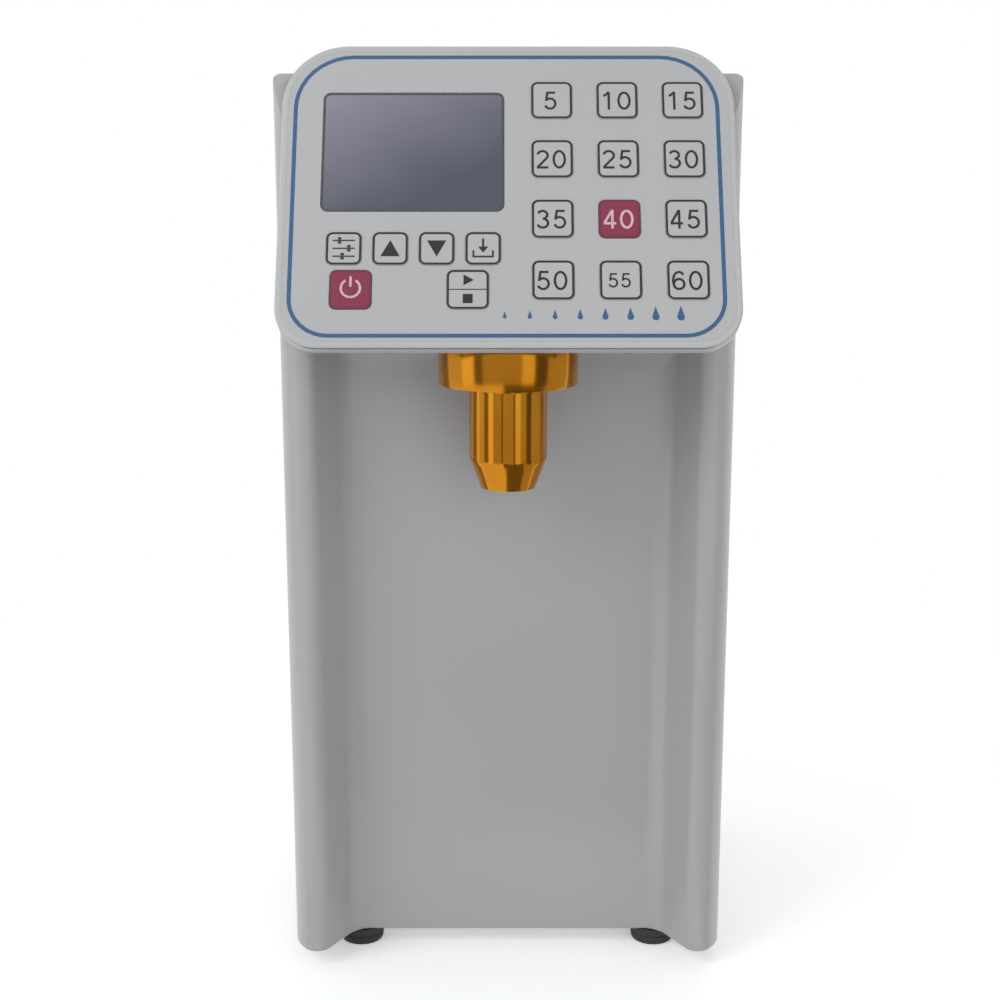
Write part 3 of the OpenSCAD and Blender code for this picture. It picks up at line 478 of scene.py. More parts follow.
def body_skin():
    """The moulded shell: two pillars, the cup bay, sides and rear flange."""
    base = shell_low.z
    inner = len(bay_side(0))
    rows = [(z, inset, bay_y, 0) for z, inset in bend(1.5 * MM, 5, base, up=False)]
    fillet_z = head_z - BAY_TOP_R
    rows += [(base + (fillet_z - base) * share, 0, bay_y, 0) for share in (0.2, 0.45, 0.7, 0.9)]
    for i in range(15):
        a = math.pi / 2 * i / 14
        rows.append((fillet_z + BAY_TOP_R * math.sin(a), 0,
                     bay_y - BAY_TOP_R * (1 - math.cos(a)), 5 * MM * math.sin(a)))
    bm = bmesh.new()
    grid = []
    for z, inset, top_y, k in rows:
        line = [(x, y if z < fillet_z else soft_min(y, top_y, k)) for x, y in bay_side(inset)]
        line += outer_side(inset)
        grid.append([bm.verts.new((-x, y, z)) for x, y in reversed(line)]
                    + [bm.verts.new((x, y, z)) for x, y in line])
    outline = bay_side(0) + outer_side(0)
    tops = [head_under(x) if i < inner - 1 else min(shell_high.z, plane_z(y, BEHIND))
            for i, (x, y) in enumerate(outline)]
    tops = tops[::-1] + tops
    count = len(outline)
    steps = 5
    for k in range(1, steps + 1):
        grid.append([bm.verts.new((v.co.x, v.co.y, head_z + (top - head_z) * k / steps))
                     for v, top in zip(grid[len(rows) - 1], tops)])
    for row, (a, b) in enumerate(zip(grid, grid[1:])):
        for i in range(2 * count - 1):
            if row < len(rows) - 1 or min(tops[i], tops[i + 1]) >= head_z + 0.02 * MM:
                bm.faces.new((a[i], a[i + 1], b[i + 1], b[i]))
    for side, line in ((-1, grid[-1][count - 1::-1]), (1, grid[-1][count:])):
        rim = [v for v, (x, y) in zip(line, outline)
               if y <= cut_y + 0.01 * MM and abs(v.co.x) >= nose_x - 1e-6]
        bm.faces.new(rim + [bm.verts.new((side * nose_x, rim[-1].co.y, rim[-1].co.z))])
    bmesh.ops.delete(bm, geom=[v for v in bm.verts if not v.link_faces], context="VERTS")
    tidy_up(bm)
    side_face = max(bm.faces, key=lambda f: f.calc_center_median().x)
    if side_face.normal.x < 0:
        bmesh.ops.reverse_faces(bm, faces=bm.faces)
    piece = made_of("body_skin", bm, shell_paint)
    shade(piece, 35)
    thick = piece.modifiers.new("wall", "SOLIDIFY")
    thick.thickness = WALL
    thick.offset = -1
    thick.use_even_offset = thick.use_quality_normals = True
    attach(piece, "root")
    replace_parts(piece, "body_shell")


def head_skin():
    """The head behind the panel, with rounded lower corners."""
    right = [(nose_x, deck_low.z)] + arc(nose_x - HEAD_R, head_z + HEAD_R, HEAD_R, 0, -90, 10)
    profile = right + [(-x, z) for x, z in reversed(right)]
    bm = bmesh.new()
    back = [(x, head_high.y, z) for x, z in profile]
    edge = [(x, plane_y(z, -BEZEL_T - 0.4 * MM), z) for x, z in profile]
    front = [(x * 0.9985, plane_y(z, BEHIND), z + 0.15 * MM) for x, z in profile]
    a, b, c = loft(bm, [back, edge, front], closed=False)
    inner = [(x - math.copysign(WALL, x), z + WALL * (z < head_z + HEAD_R)) for x, z in profile]
    d, e = loft(bm, [[(x, plane_y(z, BEHIND), z) for x, z in inner],
                     [(x, head_high.y, z) for x, z in inner]], closed=False)
    for i in range(len(profile) - 1):
        bm.faces.new((c[i], c[i + 1], d[i + 1], d[i]))
        bm.faces.new((a[i], e[i], e[i + 1], a[i + 1]))
    for i in (0, -1):
        bm.faces.new([ring[i] for ring in (a, b, c, d, e)])
    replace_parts(finish_mesh("head_skin", bm, shell_paint), "head_housing")


def deck_skin():
    """The deck, with its slanted front end and the tank's opening."""
    def loop(z, inset):
        y = plane_y(z, BEHIND)
        start = math.degrees(math.asin((y - side_y) / (SIDE_R - inset)))
        line = arc(side_x, side_y, SIDE_R - inset, start, 0, 7)
        line += arc(rear_x, rear_y - BACK_R, BACK_R - inset, 0, 90, 8)
        return at_height(line + [(-x, y) for x, y in reversed(line)], z)

    rows = [(deck_low.z, 0.06 * MM), (deck_low.z + 0.1 * MM, 0)]
    rise = deck_high.z - deck_low.z - 0.2 * MM
    rows += [(z, 1.6 * inset) for z, inset in bend(rise, 9, deck_high.z)]
    bm = bmesh.new()
    rings = loft(bm, [loop(z, inset) for z, inset in rows])
    hole = rounded(2 * (tank_high.x - RIM_W) + 1 * MM,
                   tank_high.y - tank_low.y - 2 * RIM_W + 1 * MM, TANK_R + 0.5 * MM)
    hole_rings = loft(bm, [at_height(hole, z, tank_y) for z in (rows[0][0], rows[-1][0])])
    fill(bm, [rings[-1], hole_rings[1]], (0, 0, 1))
    fill(bm, [rings[0], hole_rings[0]], (0, 0, -1))
    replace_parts(finish_mesh("deck_skin", bm, shell_paint), "top_deck")


RIM_W = 5 * MM
TANK_R = 14 * MM
tank_y = (tank_low.y + tank_high.y) / 2


# Panel
PANEL_TOP_R = 31.5 * MM
PANEL_LOW_R = 20 * MM
KEY_R = 3.2 * MM
FILM_IN = 3 * MM
FILM_T = 0.8 * MM
FACE_T = 2.2 * MM
GAP = 0.12 * MM
KEY_PROUD = 0.4 * MM
KEYS = [n for n in nodes if n.startswith("key_")]
RED_KEYS = ("key_40", "key_power")


def square_loop(place, w_side, h_side, r, w, steps=6):
    return [on_panel(place[0] + u, place[1] + v, w)
            for u, v in rounded(w_side, h_side, r, steps)]


def panel_loop(inset, w):
    radii = (PANEL_LOW_R - inset, PANEL_TOP_R - inset)
    return square_loop((0, 0), PANEL_W - 2 * inset, PANEL_L - 2 * inset, radii, w, 14)


def key_side(name):
    low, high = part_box(name)
    return high.x - low.x


def panel_holes(w, grow):
    """Loops round the keys and the display window, in the plane w."""
    loops = []
    for name in KEYS:
        side = key_side(name) + 2 * grow
        loops.append(square_loop(panel_place(*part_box(name)), side, side, KEY_R + grow, w))
    loops.append(square_loop(panel_place(window_low, window_high), WINDOW_W + 2 * GAP,
                             WINDOW_H + 2 * GAP, 3.6 * MM + GAP, w))
    return loops


WINDOW_W = window_high.x - window_low.x
WINDOW_H = 62.4 * MM


def bezel():
    """The bezel: rolled edge, seam with a painted shadow in its groove, and a pocket for the
    printed film.
    """
    bm = bmesh.new()
    rows = off(-BEZEL_T, 0, (0, 0.4), (0.25, 0.1), (0.5, 0))
    rows += off(0, 0, (-2.3, 0), (-2.2, 0.1), (-2.15, 1.3), (-1.25, 1.3), (-1.2, 0.1), (-1.1, 0))
    rows += bend(1.0 * MM, 7, 0)
    rows += [(0, FILM_IN - 0.05 * MM), (-0.05 * MM, FILM_IN), (-FILM_T, FILM_IN)]
    rings = loft(bm, [panel_loop(inset, w) for w, inset in rows], cap_start=True)
    floor, cut = [rings[-1]], []
    walls(bm, zip(panel_holes(-FILM_T, GAP), panel_holes(-FILM_T - FACE_T, GAP)), floor, cut)
    fill(bm, floor, W)
    for ring in cut:
        bm.faces.new(ring)
    piece = finish_mesh("bezel", bm, bezel_plastic)
    # The faces inside the seam groove take the near-black painted shadow.
    piece.data.materials.append(seam_painted_shadow)
    for face in piece.data.polygons:
        away = Vector(face.center) - panel
        outside = abs(away.dot(U)) > PANEL_W / 2 - 2 * MM or abs(away.dot(V)) > PANEL_L / 2 - 2 * MM
        if outside and -2.19 * MM < away.dot(W) < -1.21 * MM:
            face.material_index = 1
    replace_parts(piece, "panel_bezel")


def film():
    """The overlay film, with openings for the keys and the display."""
    bm = bmesh.new()
    edge, fit = 0.06 * MM, 0.02 * MM
    outer = loft(bm, [panel_loop(FILM_IN + fit, -FILM_T), panel_loop(FILM_IN + fit, -edge),
                      panel_loop(FILM_IN + fit + edge, 0)])
    front, back = [outer[-1]], [outer[0]]
    walls(bm, zip(panel_holes(0, GAP + edge), panel_holes(-edge, GAP), panel_holes(-FILM_T, GAP)),
          front, back)
    fill(bm, front, W)
    fill(bm, back, -W)
    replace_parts(finish_mesh("overlay_film", bm, overlay_film), "panel_overlay")


def key_pad(name):
    """One key: a soft-edged pad, slightly crowned."""
    place = panel_place(*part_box(name))
    side = key_side(name)
    rows = [(-FILM_T - FACE_T + 0.7 * MM, 0), (0, 0)]
    rows += off(KEY_PROUD, 0, (-0.22, 0.02), (-0.12, 0.10), (-0.05, 0.28), (-0.02, 0.6), (0, 2.4))
    bm = bmesh.new()
    loops = [square_loop(place, side - 2 * i, side - 2 * i, KEY_R - i * 0.9, w, 8) for w, i in rows]
    loft(bm, loops, cap_start=True, cap_end=True)
    red = name in RED_KEYS
    piece = finish_mesh(name + "_pad", bm, red_film if red else key_film,
                        name)
    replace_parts(piece, name)


# Printing. Every mark is a thin solid that lies on its film.
INK_T = 0.03 * MM
STEP_T = 0.004 * MM


def oval(cx, cy, rx, ry, start, end, steps=20):
    """Points of an elliptical arc, with angles in degrees."""
    return [(cx + rx * x, cy + ry * y) for x, y in arc(0, 0, 1, start, end, steps)]


# Numerals as strokes in a box one unit high
DIGIT_W = 0.66
DIGIT_LINE = 0.122
MID = DIGIT_W / 2
DIGITS = {
    "0": [(oval(MID, 0.5, 0.272, 0.444, 0, 354, 60), True)],
    "1": [([(0.39, 0), (0.39, 1)], False), ([(0.13, 0.755), (0.28, 0.86), (0.375, 0.97)], False)],
    "2": [(oval(MID, 0.705, 0.255, 0.24, 165, -30) + [(0.10, 0.09)], False),
          ([(0.045, 0.056), (0.61, 0.056)], False)],
    "3": [(oval(0.31, 0.735, 0.225, 0.21, 158, -90), False),
          (oval(0.31, 0.292, 0.262, 0.236, 90, -160), False)],
    "4": [([(0.45, 0), (0.45, 1)], False), ([(0.435, 0.965), (0.07, 0.32)], False),
          ([(0.03, 0.28), (0.63, 0.28)], False)],
    "5": [([(0.57, 0.944), (0.185, 0.944), (0.115, 0.475)], False),
          (oval(0.315, 0.335, 0.262, 0.28, 142, -158), False)],
    "6": [(oval(0.345, 0.5, 0.285, 0.444, 42, 205), False),
          (oval(0.34, 0.315, 0.252, 0.26, 0, 354, 60), True)],
}


class Print:
    """Collects flat marks in one mesh, drawn about a place on the panel."""

    def __init__(self, place, w):
        self.bm = bmesh.new()
        self.place = place
        self.w = w

    def shape(self, outer, *holes, material=0, extra=0.0):
        """A flat shape with thickness; points are about the place, in metres."""
        known = set(self.bm.faces)
        low, high = [], []
        u, v = self.place
        heights = (self.w, self.w + INK_T + extra)
        walls(self.bm, ([[on_panel(u + x, v + y, w) for x, y in points] for w in heights]
                        for points in (outer, *holes)), low, high)
        fill(self.bm, high, W)
        fill(self.bm, low, -W)
        for face in set(self.bm.faces) - known:
            face.material_index = material

    def frame(self, w, h, r, line):
        """A rounded frame whose line lies inside w by h."""
        radii = r if isinstance(r, tuple) else (r, r)
        inner = tuple(max(radius - line, 0.2 * MM) for radius in radii)
        self.shape(rounded(w, h, radii, 10), rounded(w - 2 * line, h - 2 * line, inner, 10)[::-1])

    def bar(self, x, y, w, h, material=0):
        corners = ((-1, -1), (1, -1), (1, 1), (-1, 1))
        self.shape([(x + a * w / 2, y + b * h / 2) for a, b in corners], material=material)

    def stroke(self, points, line, material=0, closed=False, extra=0.0):
        """A line of even width along points. extra thickens the ink where strokes cross."""
        left, right = [], []
        points = [Vector(p) for p in points]
        count = len(points)
        for i, p in enumerate(points):
            before = points[i - 1] if closed or i else None
            after = points[(i + 1) % count] if closed or i < count - 1 else None
            ahead = (after - p).normalized() if after else None
            behind = (p - before).normalized() if before else None
            along = ((ahead or behind) + (behind or ahead)).normalized()
            reach = line / 2 / max(0.5, along.dot(ahead or behind))
            side = Vector((-along.y, along.x)) * reach
            left.append(p + side)
            right.append(p - side)
        outlines = (left, right) if closed else (left + right[::-1],)
        self.shape(*outlines, material=material, extra=extra)

    def digits(self, text, height, material=0):
        """Plain numerals centred on the place."""
        advance = 0.82 * height
        for i, digit in enumerate(text):
            x0 = DIGIT_SHIFT + (i - len(text) / 2) * advance + (advance - DIGIT_W * height) / 2
            for k, (path, closed) in enumerate(DIGITS[digit]):
                points = [(x0 + x * height, (y - 0.53) * height) for x, y in path]
                self.stroke(points, DIGIT_LINE * height, material, closed, k * STEP_T)

    def done(self, name, body, materials):
        piece = finish_mesh(name, self.bm, materials[0], body, 20)
        for extra in materials[1:]:
            piece.data.materials.append(extra)


RING_IN = 0.12 * MM
RING_T = 1.0 * MM
DIGIT_H = 9.6 * MM
DIGIT_SHIFT = -0.6 * MM


def key_mark(name):
    """The printed frame of a key and the numeral or sign in it."""
    place = panel_place(*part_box(name))
    side = key_side(name) - 2 * RING_IN
    red = name in RED_KEYS
    mark = Print(place, KEY_PROUD)
    mark.frame(side, side, KEY_R - RING_IN, RING_T)
    sign = int(red)
    kind = name[len("key_"):]
    if kind.isdigit():
        small = 0.75 if kind == "55" else 1.0
        mark.digits(kind, DIGIT_H * small, sign)
    elif kind == "up":
        mark.shape(off(0, 0, (-4.5, -4.0), (4.5, -4.0), (0, 4.2)))
    elif kind == "down":
        mark.shape(off(0, 0, (4.5, 4.0), (-4.5, 4.0), (0, -4.2)))
    elif kind == "power":
        r, line, opening, rise = 5.0 * MM, 1.1 * MM, 32, 0.6 * MM
        ring = arc(0, 0, r, 90 + opening, 450 - opening, 40)
        ring += arc(0, 0, r - line, 450 - opening, 90 + opening, 40)
        mark.shape([(x, y + rise) for x, y in ring], material=sign)
        mark.bar(0, rise + 3.3 * MM, line, 5.2 * MM, sign)
    elif kind == "run_stop":
        mark.bar(0, 0, side - 2 * RING_T, 0.5 * MM)
        mark.shape(off(0, 0, (-2.0, 2.0), (2.8, 4.7), (-2.0, 7.4)))
        mark.bar(0, -4.6 * MM, 4.6 * MM, 4.6 * MM)
    elif kind == "set":
        for y, knob in ((4.0, -2.0), (0.0, 2.4), (-4.0, -0.6)):
            mark.bar(0, y * MM, 10.4 * MM, 0.7 * MM)
            for shift in (1.05, -1.05):
                mark.bar(knob * MM, (y + shift) * MM, 1.7 * MM, 1.2 * MM)
    elif kind == "store":
        mark.shape(off(0, 0, (-5, -1), (-5, -4.6), (5, -4.6), (5, -1), (4.1, -1), (4.1, -3.7),
                       (-4.1, -3.7), (-4.1, -1)))
        mark.shape(off(0, 0, (-0.5, 5.0), (-0.5, 0.9), (-2.4, 0.9), (0, -2.2), (2.4, 0.9),
                       (0.5, 0.9), (0.5, 5.0)))
    inks = [wine_ink, pink_ink] if red else [black_ink]
    mark.done(name + "_print", name, inks)


def panel_print():
    """The blue line round the panel and a row of drops that grow with the dose."""
    mark = Print((-0.85 * MM, -0.3 * MM), 0)
    line = 1.95 * MM
    border_w, border_h = 203.5 * MM, 145.7 * MM
    mark.frame(border_w, border_h, (19.3 * MM, 28.3 * MM), line)
    count, first, pitch, row = 8, -1 * MM, 11.6 * MM, -62.6 * MM
    for i in range(count):
        r = (0.9 + 0.13 * i) * MM
        x = first + i * pitch
        drop = [(x, row + 3.1 * r)] + [(x + px, row + py) for px, py in arc(0, 0, r, 150, 390, 20)]
        mark.shape(drop)
    mark.done("panel_border_print", "root", [blue_ink])
    mark = Print(panel_place(window_low, window_high), -0.3 * MM)
    mark.frame(WINDOW_W - 0.3 * MM, WINDOW_H - 0.3 * MM, 3.5 * MM, 1.0 * MM)
    mark.done("window_edge_print", "root", [window_ink])


# Nozzle
COLLAR_H = 19.3 * MM
NECK_R = 11 * MM
BARB_R = 3.9 * MM
BORE_R = 2.5 * MM
SHANK_R = 11.9 * MM
TIP_R = 13.4 * MM
TIP_H = 15 * MM
FLUTES = 24
FLUTE_R = 14 * MM
FLUTE_D = 0.4 * MM
nozzle = middle(spout_low, spout_high)[:2]
collar_r = (collar_high.x - collar_low.x) / 2
spout_r = (spout_high.x - spout_low.x) / 2


def ring_lathe(bm, profile, centre, steps, flute=None):
    """A lathe whose profile closes on itself."""
    rings = lathe(bm, profile, centre, steps, flute)
    band(bm, rings[-1], rings[0])


def collar():
    """The turned collar, with its neck and hose barb."""
    z, r, edge = collar_low.z, collar_r, 0.4 * MM
    top = z + COLLAR_H
    neck = collar_high.z - 12 * MM
    under = off(SHANK_R, z, (0.05, 0.3), (0.35, 0))
    face = [(r * 0.63, z), (r * 0.64, z + 0.12 * MM), (r * 0.66, z + 0.12 * MM), (r * 0.67, z)]
    rim = [(r - edge, z), (r - 0.3 * edge, z + 0.3 * edge), (r, z + edge),
           (r, top - edge), (r - 0.3 * edge, top - 0.3 * edge), (r - edge, top)]
    inside = [(NECK_R, top), (NECK_R, neck), (BARB_R, neck), (BARB_R, collar_high.z - 1 * MM),
              (BARB_R - 0.6 * MM, collar_high.z), (BORE_R, collar_high.z),
              (BORE_R, z + 11.5 * MM), (SHANK_R + 0.05 * MM, z + 11.5 * MM)]
    bm = bmesh.new()
    ring_lathe(bm, under + face + rim + inside, nozzle, 128)
    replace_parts(finish_mesh("collar_turned", bm, gold), "nozzle_collar")


def spout():
    """The fluted spout with its tapered tip, ring groove and syrup passage."""
    tip = spout_low.z
    full = tip + TIP_H
    top = collar_low.z
    groove = top + 5 * MM

    def flute(r, z, angle):
        step = 2 * math.pi / FLUTES
        turn = (angle + step / 2) % step - step / 2
        axis = spout_r + FLUTE_R - FLUTE_D
        across = axis * math.sin(turn)
        if r < SHANK_R + 0.1 * MM or z < tip + TIP_H * 0.4:
            return r
        cut = axis * math.cos(turn) - math.sqrt(FLUTE_R ** 2 - across ** 2)
        fade = min(1.0, max(0.0, (top - 1.6 * MM - z) / (1.2 * MM)))
        return r - max(0.0, r - cut) * math.sin(fade * math.pi / 2)

    start = tip + 0.3 * MM
    profile = off(BORE_R, tip, (0, 0.8), (0.8, 0.1))
    profile += off(TIP_R, tip, (-1.3, 0.1), (-0.9, 0), (-0.35, 0))
    profile += [(TIP_R + (spout_r - TIP_R) * i / 10, start + (full - start) * i / 10)
                for i in range(11)]
    profile += [(spout_r, full + height * MM) for height in
                (0.5, 2, 6, 14, 24, 32, 33.8, 34.1, 34.4, 34.7, 35.0, 35.3, 35.6, 36.4)]
    profile += off(spout_r, top, (-0.15, -0.1), (-0.5, -0.02)) + off(SHANK_R, top, (0, -0.02))
    profile += off(SHANK_R, groove, (0, 0), (-1.5, 0), (-1.5, 2.6), (0, 2.6))
    profile += off(SHANK_R, spout_high.z, (0, -0.5), (-0.5, 0)) + [(3.5 * MM, spout_high.z)]
    profile += off(0, top, (3.5, -4), (6, -4)) + [(6 * MM, full + 9 * MM), (BORE_R, full + 9 * MM)]
    bm = bmesh.new()
    ring_lathe(bm, profile, nozzle, FLUTES * 14, flute)
    piece = finish_mesh("spout_fluted", bm, gold, "spout", 28)
    # The faces of the tip's lower rim take a painted highlight in paler gold.
    piece.data.materials.append(rim_painted_highlight)
    for face in piece.data.polygons:
        away = math.hypot(face.center.x - nozzle[0], face.center.y - nozzle[1])
        if face.center.z < tip + 0.32 * MM and away > TIP_R - 1.4 * MM:
            face.material_index = 1
    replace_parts(piece, "nozzle_spout")


def valve_coil():
    """The valve's spring, a coil of round wire with a mesh of its own."""
    low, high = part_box("valve_spring")
    wire = 0.4 * MM
    coil_r = (high.x - low.x) / 2 - wire
    turns, steps, travel = 5, 28, 3.1 * MM
    loops = []
    for k in range(turns * steps + 1):
        turn = math.radians(360 * k / steps)
        height = low.z + wire + (high.z - low.z - 2 * wire) * k / (turns * steps)
        loops.append([(nozzle[0] + r * math.cos(turn), nozzle[1] + r * math.sin(turn), height + z)
                      for r, z in arc(coil_r, 0, wire, 0, 330, 11)])
    bm = bmesh.new()
    loft(bm, loops, cap_start=True, cap_end=True)
    piece = finish_mesh("valve_coil", bm, turned_steel, "spout")
    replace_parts(piece, "valve_spring")
    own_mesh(piece)


# Paler gold for the lower rim of the spout's tip: a painted highlight.
rim_painted_highlight = metal("rim_highlight_paint", (0.80, 0.66, 0.45), 0.30)


# Lid and knob
def lid_skin():
    """The pressed lid, with a skirt and a shallow recess in its top."""
    w, d = lid_high.x - lid_low.x, lid_high.y - lid_low.y
    mid_y = (lid_low.y + lid_high.y) / 2
    corner = TANK_R + RIM_W + LID_OVER
    low, top, skirt = lid_low.z, lid_high.z, 2 * MM
    rows = [(top - 3 * MM, skirt)] + off(low, skirt, (0.3, 0), (0, -0.3))
    rows += off(low, 0, (0, 0.4), (0.4, 0)) + [(top - 2.6 * MM, 0)] + bend(2.5 * MM, 8, top)
    rows += off(top, 0, (0, 9), (-0.10, 10), (-0.45, 11), (-0.80, 12), (-0.90, 13))
    bm = bmesh.new()
    loft(bm, [at_height(rounded(w - 2 * inset, d - 2 * inset, corner - inset, 12), z, mid_y)
              for z, inset in rows], cap_start=True, cap_end=True)
    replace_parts(finish_mesh("lid_pressed", bm, lid_metal, "lid"), "lid")


def knob():
    """The lid's knob, with finger grips and a dished top."""
    r = (knob_high.x - knob_low.x) / 2
    base, top = lid_high.z, knob_high.z
    stem = r * 0.55
    rise = top - base
    centre = middle(knob_low, knob_high)

    def grip(radius, z, angle):
        if radius < r * 0.86:
            return radius
        depth = 1.1 * MM * min(1, (radius / r - 0.86) / 0.1)
        return radius - depth * max(0.0, math.cos(12 * angle)) ** 3

    profile = off(0, knob_low.z, (0.5, 0), (5, 0))
    profile += off(0, base, (5, -3), (2.5, -3), (2.5, -0.9)) + off(stem, base, (0, -0.9), (0, 0.2))
    profile += [(stem + out * MM, base + rise * share)
                for out, share in ((-1.2, 0.2), (-1.4, 0.3), (0.5, 0.4))]
    profile += [(r * wide, base + rise * share) for wide, share in
                ((0.8, 0.42), (0.92, 0.46), (0.985, 0.54), (1, 0.62), (1, 0.74), (0.985, 0.84),
                 (0.94, 0.93), (0.87, 0.985))]
    profile += [(r * wide, top - drop * MM) for wide, drop in
                ((0.80, 0), (0.72, 0), (0.70, 0.35), (0.66, 0.5), (0.40, 0.9), (0.05, 1.0))]
    bm = bmesh.new()
    lathe(bm, profile, centre, 144, grip, caps=True)
    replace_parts(finish_mesh("knob_grip", bm, dark_plastic, "lid"), "lid_knob")


# Back
PROUD = 2 * MM
LOUVRE_W = 62 * MM
LOUVRE_X = 48 * MM
LOUVRE_PITCH = 9 * MM
LOUVRE_ROWS = 8
LOUVRE_TOP = deck_low.z - 60 * MM
cover_y = cover_high.y - PROUD
inlet_low, inlet_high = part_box("power_inlet")
inlet_x, _, inlet_z = middle(inlet_low, inlet_high)
FLANGE_IN = 3 * MM


def flat_ring(points, y):
    """Points (x, z) at depth y."""
    return [(x, y, z) for x, z in points]


def moved(points, dx, dz):
    return [(x + dx, z + dz) for x, z in points]


LOUVRES = [(side * LOUVRE_X, LOUVRE_TOP - i * LOUVRE_PITCH)
           for side in (-1, 1) for i in range(LOUVRE_ROWS)]


def cover_skin():
    """The back cover, with slots behind the louvres and the inlet's opening."""
    w, h = cover_high.x - cover_low.x, cover_high.z - cover_low.z
    cover_mid = middle(cover_low, cover_high)
    edge = 0.35 * MM
    y0, y1 = cover_y - COVER_T, cover_y

    def outline(inset):
        return moved(rounded(w - 2 * inset, h - 2 * inset, 5 * MM - inset),
                     cover_mid[0], cover_mid[2])

    bm = bmesh.new()
    outer = loft(bm, [flat_ring(outline(inset), y) for inset, y in
                      ((0, y0), (0, y1 - edge), (edge * 0.3, y1 - edge * 0.3), (edge, y1))])
    back, front = [outer[0]], [outer[-1]]
    slots = [moved(rounded(LOUVRE_W, 3 * MM, 1.2 * MM, 4), x, z + 1.5 * MM)
             for x, z in LOUVRES]
    opening = rounded(inlet_high.x - inlet_low.x - 2 * FLANGE_IN + 0.6 * MM,
                      inlet_high.z - inlet_low.z - 2 * FLANGE_IN + 0.6 * MM, 1 * MM, 4)
    slots.append(moved(opening, inlet_x, inlet_z))
    walls(bm, ([flat_ring(line, y) for y in (y0, y1)] for line in slots), back, front)
    fill(bm, front, (0, 1, 0))
    fill(bm, back, (0, -1, 0))
    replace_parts(finish_mesh("cover_sheet", bm, cover_paint), "back_cover")


def louvres():
    """Pressed hoods over the slots, open at their lower edge."""
    bm = bmesh.new()
    t = 0.5 * MM
    bow = [(4.6, -0.02), (4.0, 0.35), (3.2, 0.95), (2.3, 1.5), (1.5, 1.85), (0.9, 2.0)]
    for x0, z0 in LOUVRES:
        outer, inner = [], []
        steps = 20
        for k in range(steps + 1):
            share = 2 * k / steps - 1
            lift = min(1.0, (1 - abs(share)) * 9) ** 0.5
            x = x0 + share * LOUVRE_W / 2
            outer.append([(x, cover_y + max(0.0, y * lift) * MM, z0 + z * MM) for z, y in bow])
            inner.append([(x, cover_y + max(-0.3 * MM, y * lift * MM - t), z0 + z * MM)
                          for z, y in bow])
        a, b = loft(bm, outer, closed=False), loft(bm, inner, closed=False)
        for i in range(steps):
            for k in (0, -1):
                bm.faces.new((a[i][k], a[i + 1][k], b[i + 1][k], b[i][k]))
    finish_mesh("cover_louvres", bm, cover_paint)


SCREW_R = 3.5 * MM


def screw(bm, place, out):
    """A pan-head screw with a cross recess, and the start of its shank."""
    place, out = Vector(place), Vector(out)
    side = out.orthogonal().normalized()
    other = out.cross(side)
    r, rise, sink, steps = SCREW_R, 2 * MM, 3 * MM, 48
    rows = [(1.4 * MM, -sink), (1.4 * MM, 0), (r, 0), (r, rise * 0.45), (r * 0.95, rise * 0.75),
            (r * 0.82, rise * 0.92)]
    rows += [(r * k / 10, rise) for k in (6.5, 6, 5.5, 5, 4.5, 4, 3.5, 3, 2.5, 2, 1.5, 1, 0.3)]
    loops = []
    for radius, height in rows:
        loop = []
        for i in range(steps):
            a = 2 * math.pi * i / steps
            x, y = radius * math.cos(a), radius * math.sin(a)
            sunk = height == rise and radius < r * 0.62 and min(abs(x), abs(y)) < r * 0.13
            loop.append(place + side * x + other * y + out * (height - 0.45 * rise * sunk))
        loops.append(loop)
    loft(bm, loops, cap_start=True, cap_end=True)


def screws():
    """Eight screws in the back cover and two under the head."""
    low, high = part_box("case_screws")
    x = high.x - SCREW_R
    first, last = low.z + SCREW_R, high.z - SCREW_R
    bm = bmesh.new()
    for side in (-1, 1):
        for i in range(4):
            screw(bm, (side * x, cover_y, first + i * (last - first) / 3), (0, 1, 0))
        screw(bm, (side * HEAD_SCREW_X, HEAD_SCREW_Y, head_z), (0, 0, -1))
    # All ten heads take the darker metal, whose painted shade is meant for the two under the head.
    piece = finish_mesh("screw_heads", bm, screw_metal_painted_shade, smooth=30)
    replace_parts(piece, "case_screws")


HEAD_SCREW_X = nose_x - 46.5 * MM
HEAD_SCREW_Y = bezel_low.y + 13 * MM
LID_OVER = 5 * MM


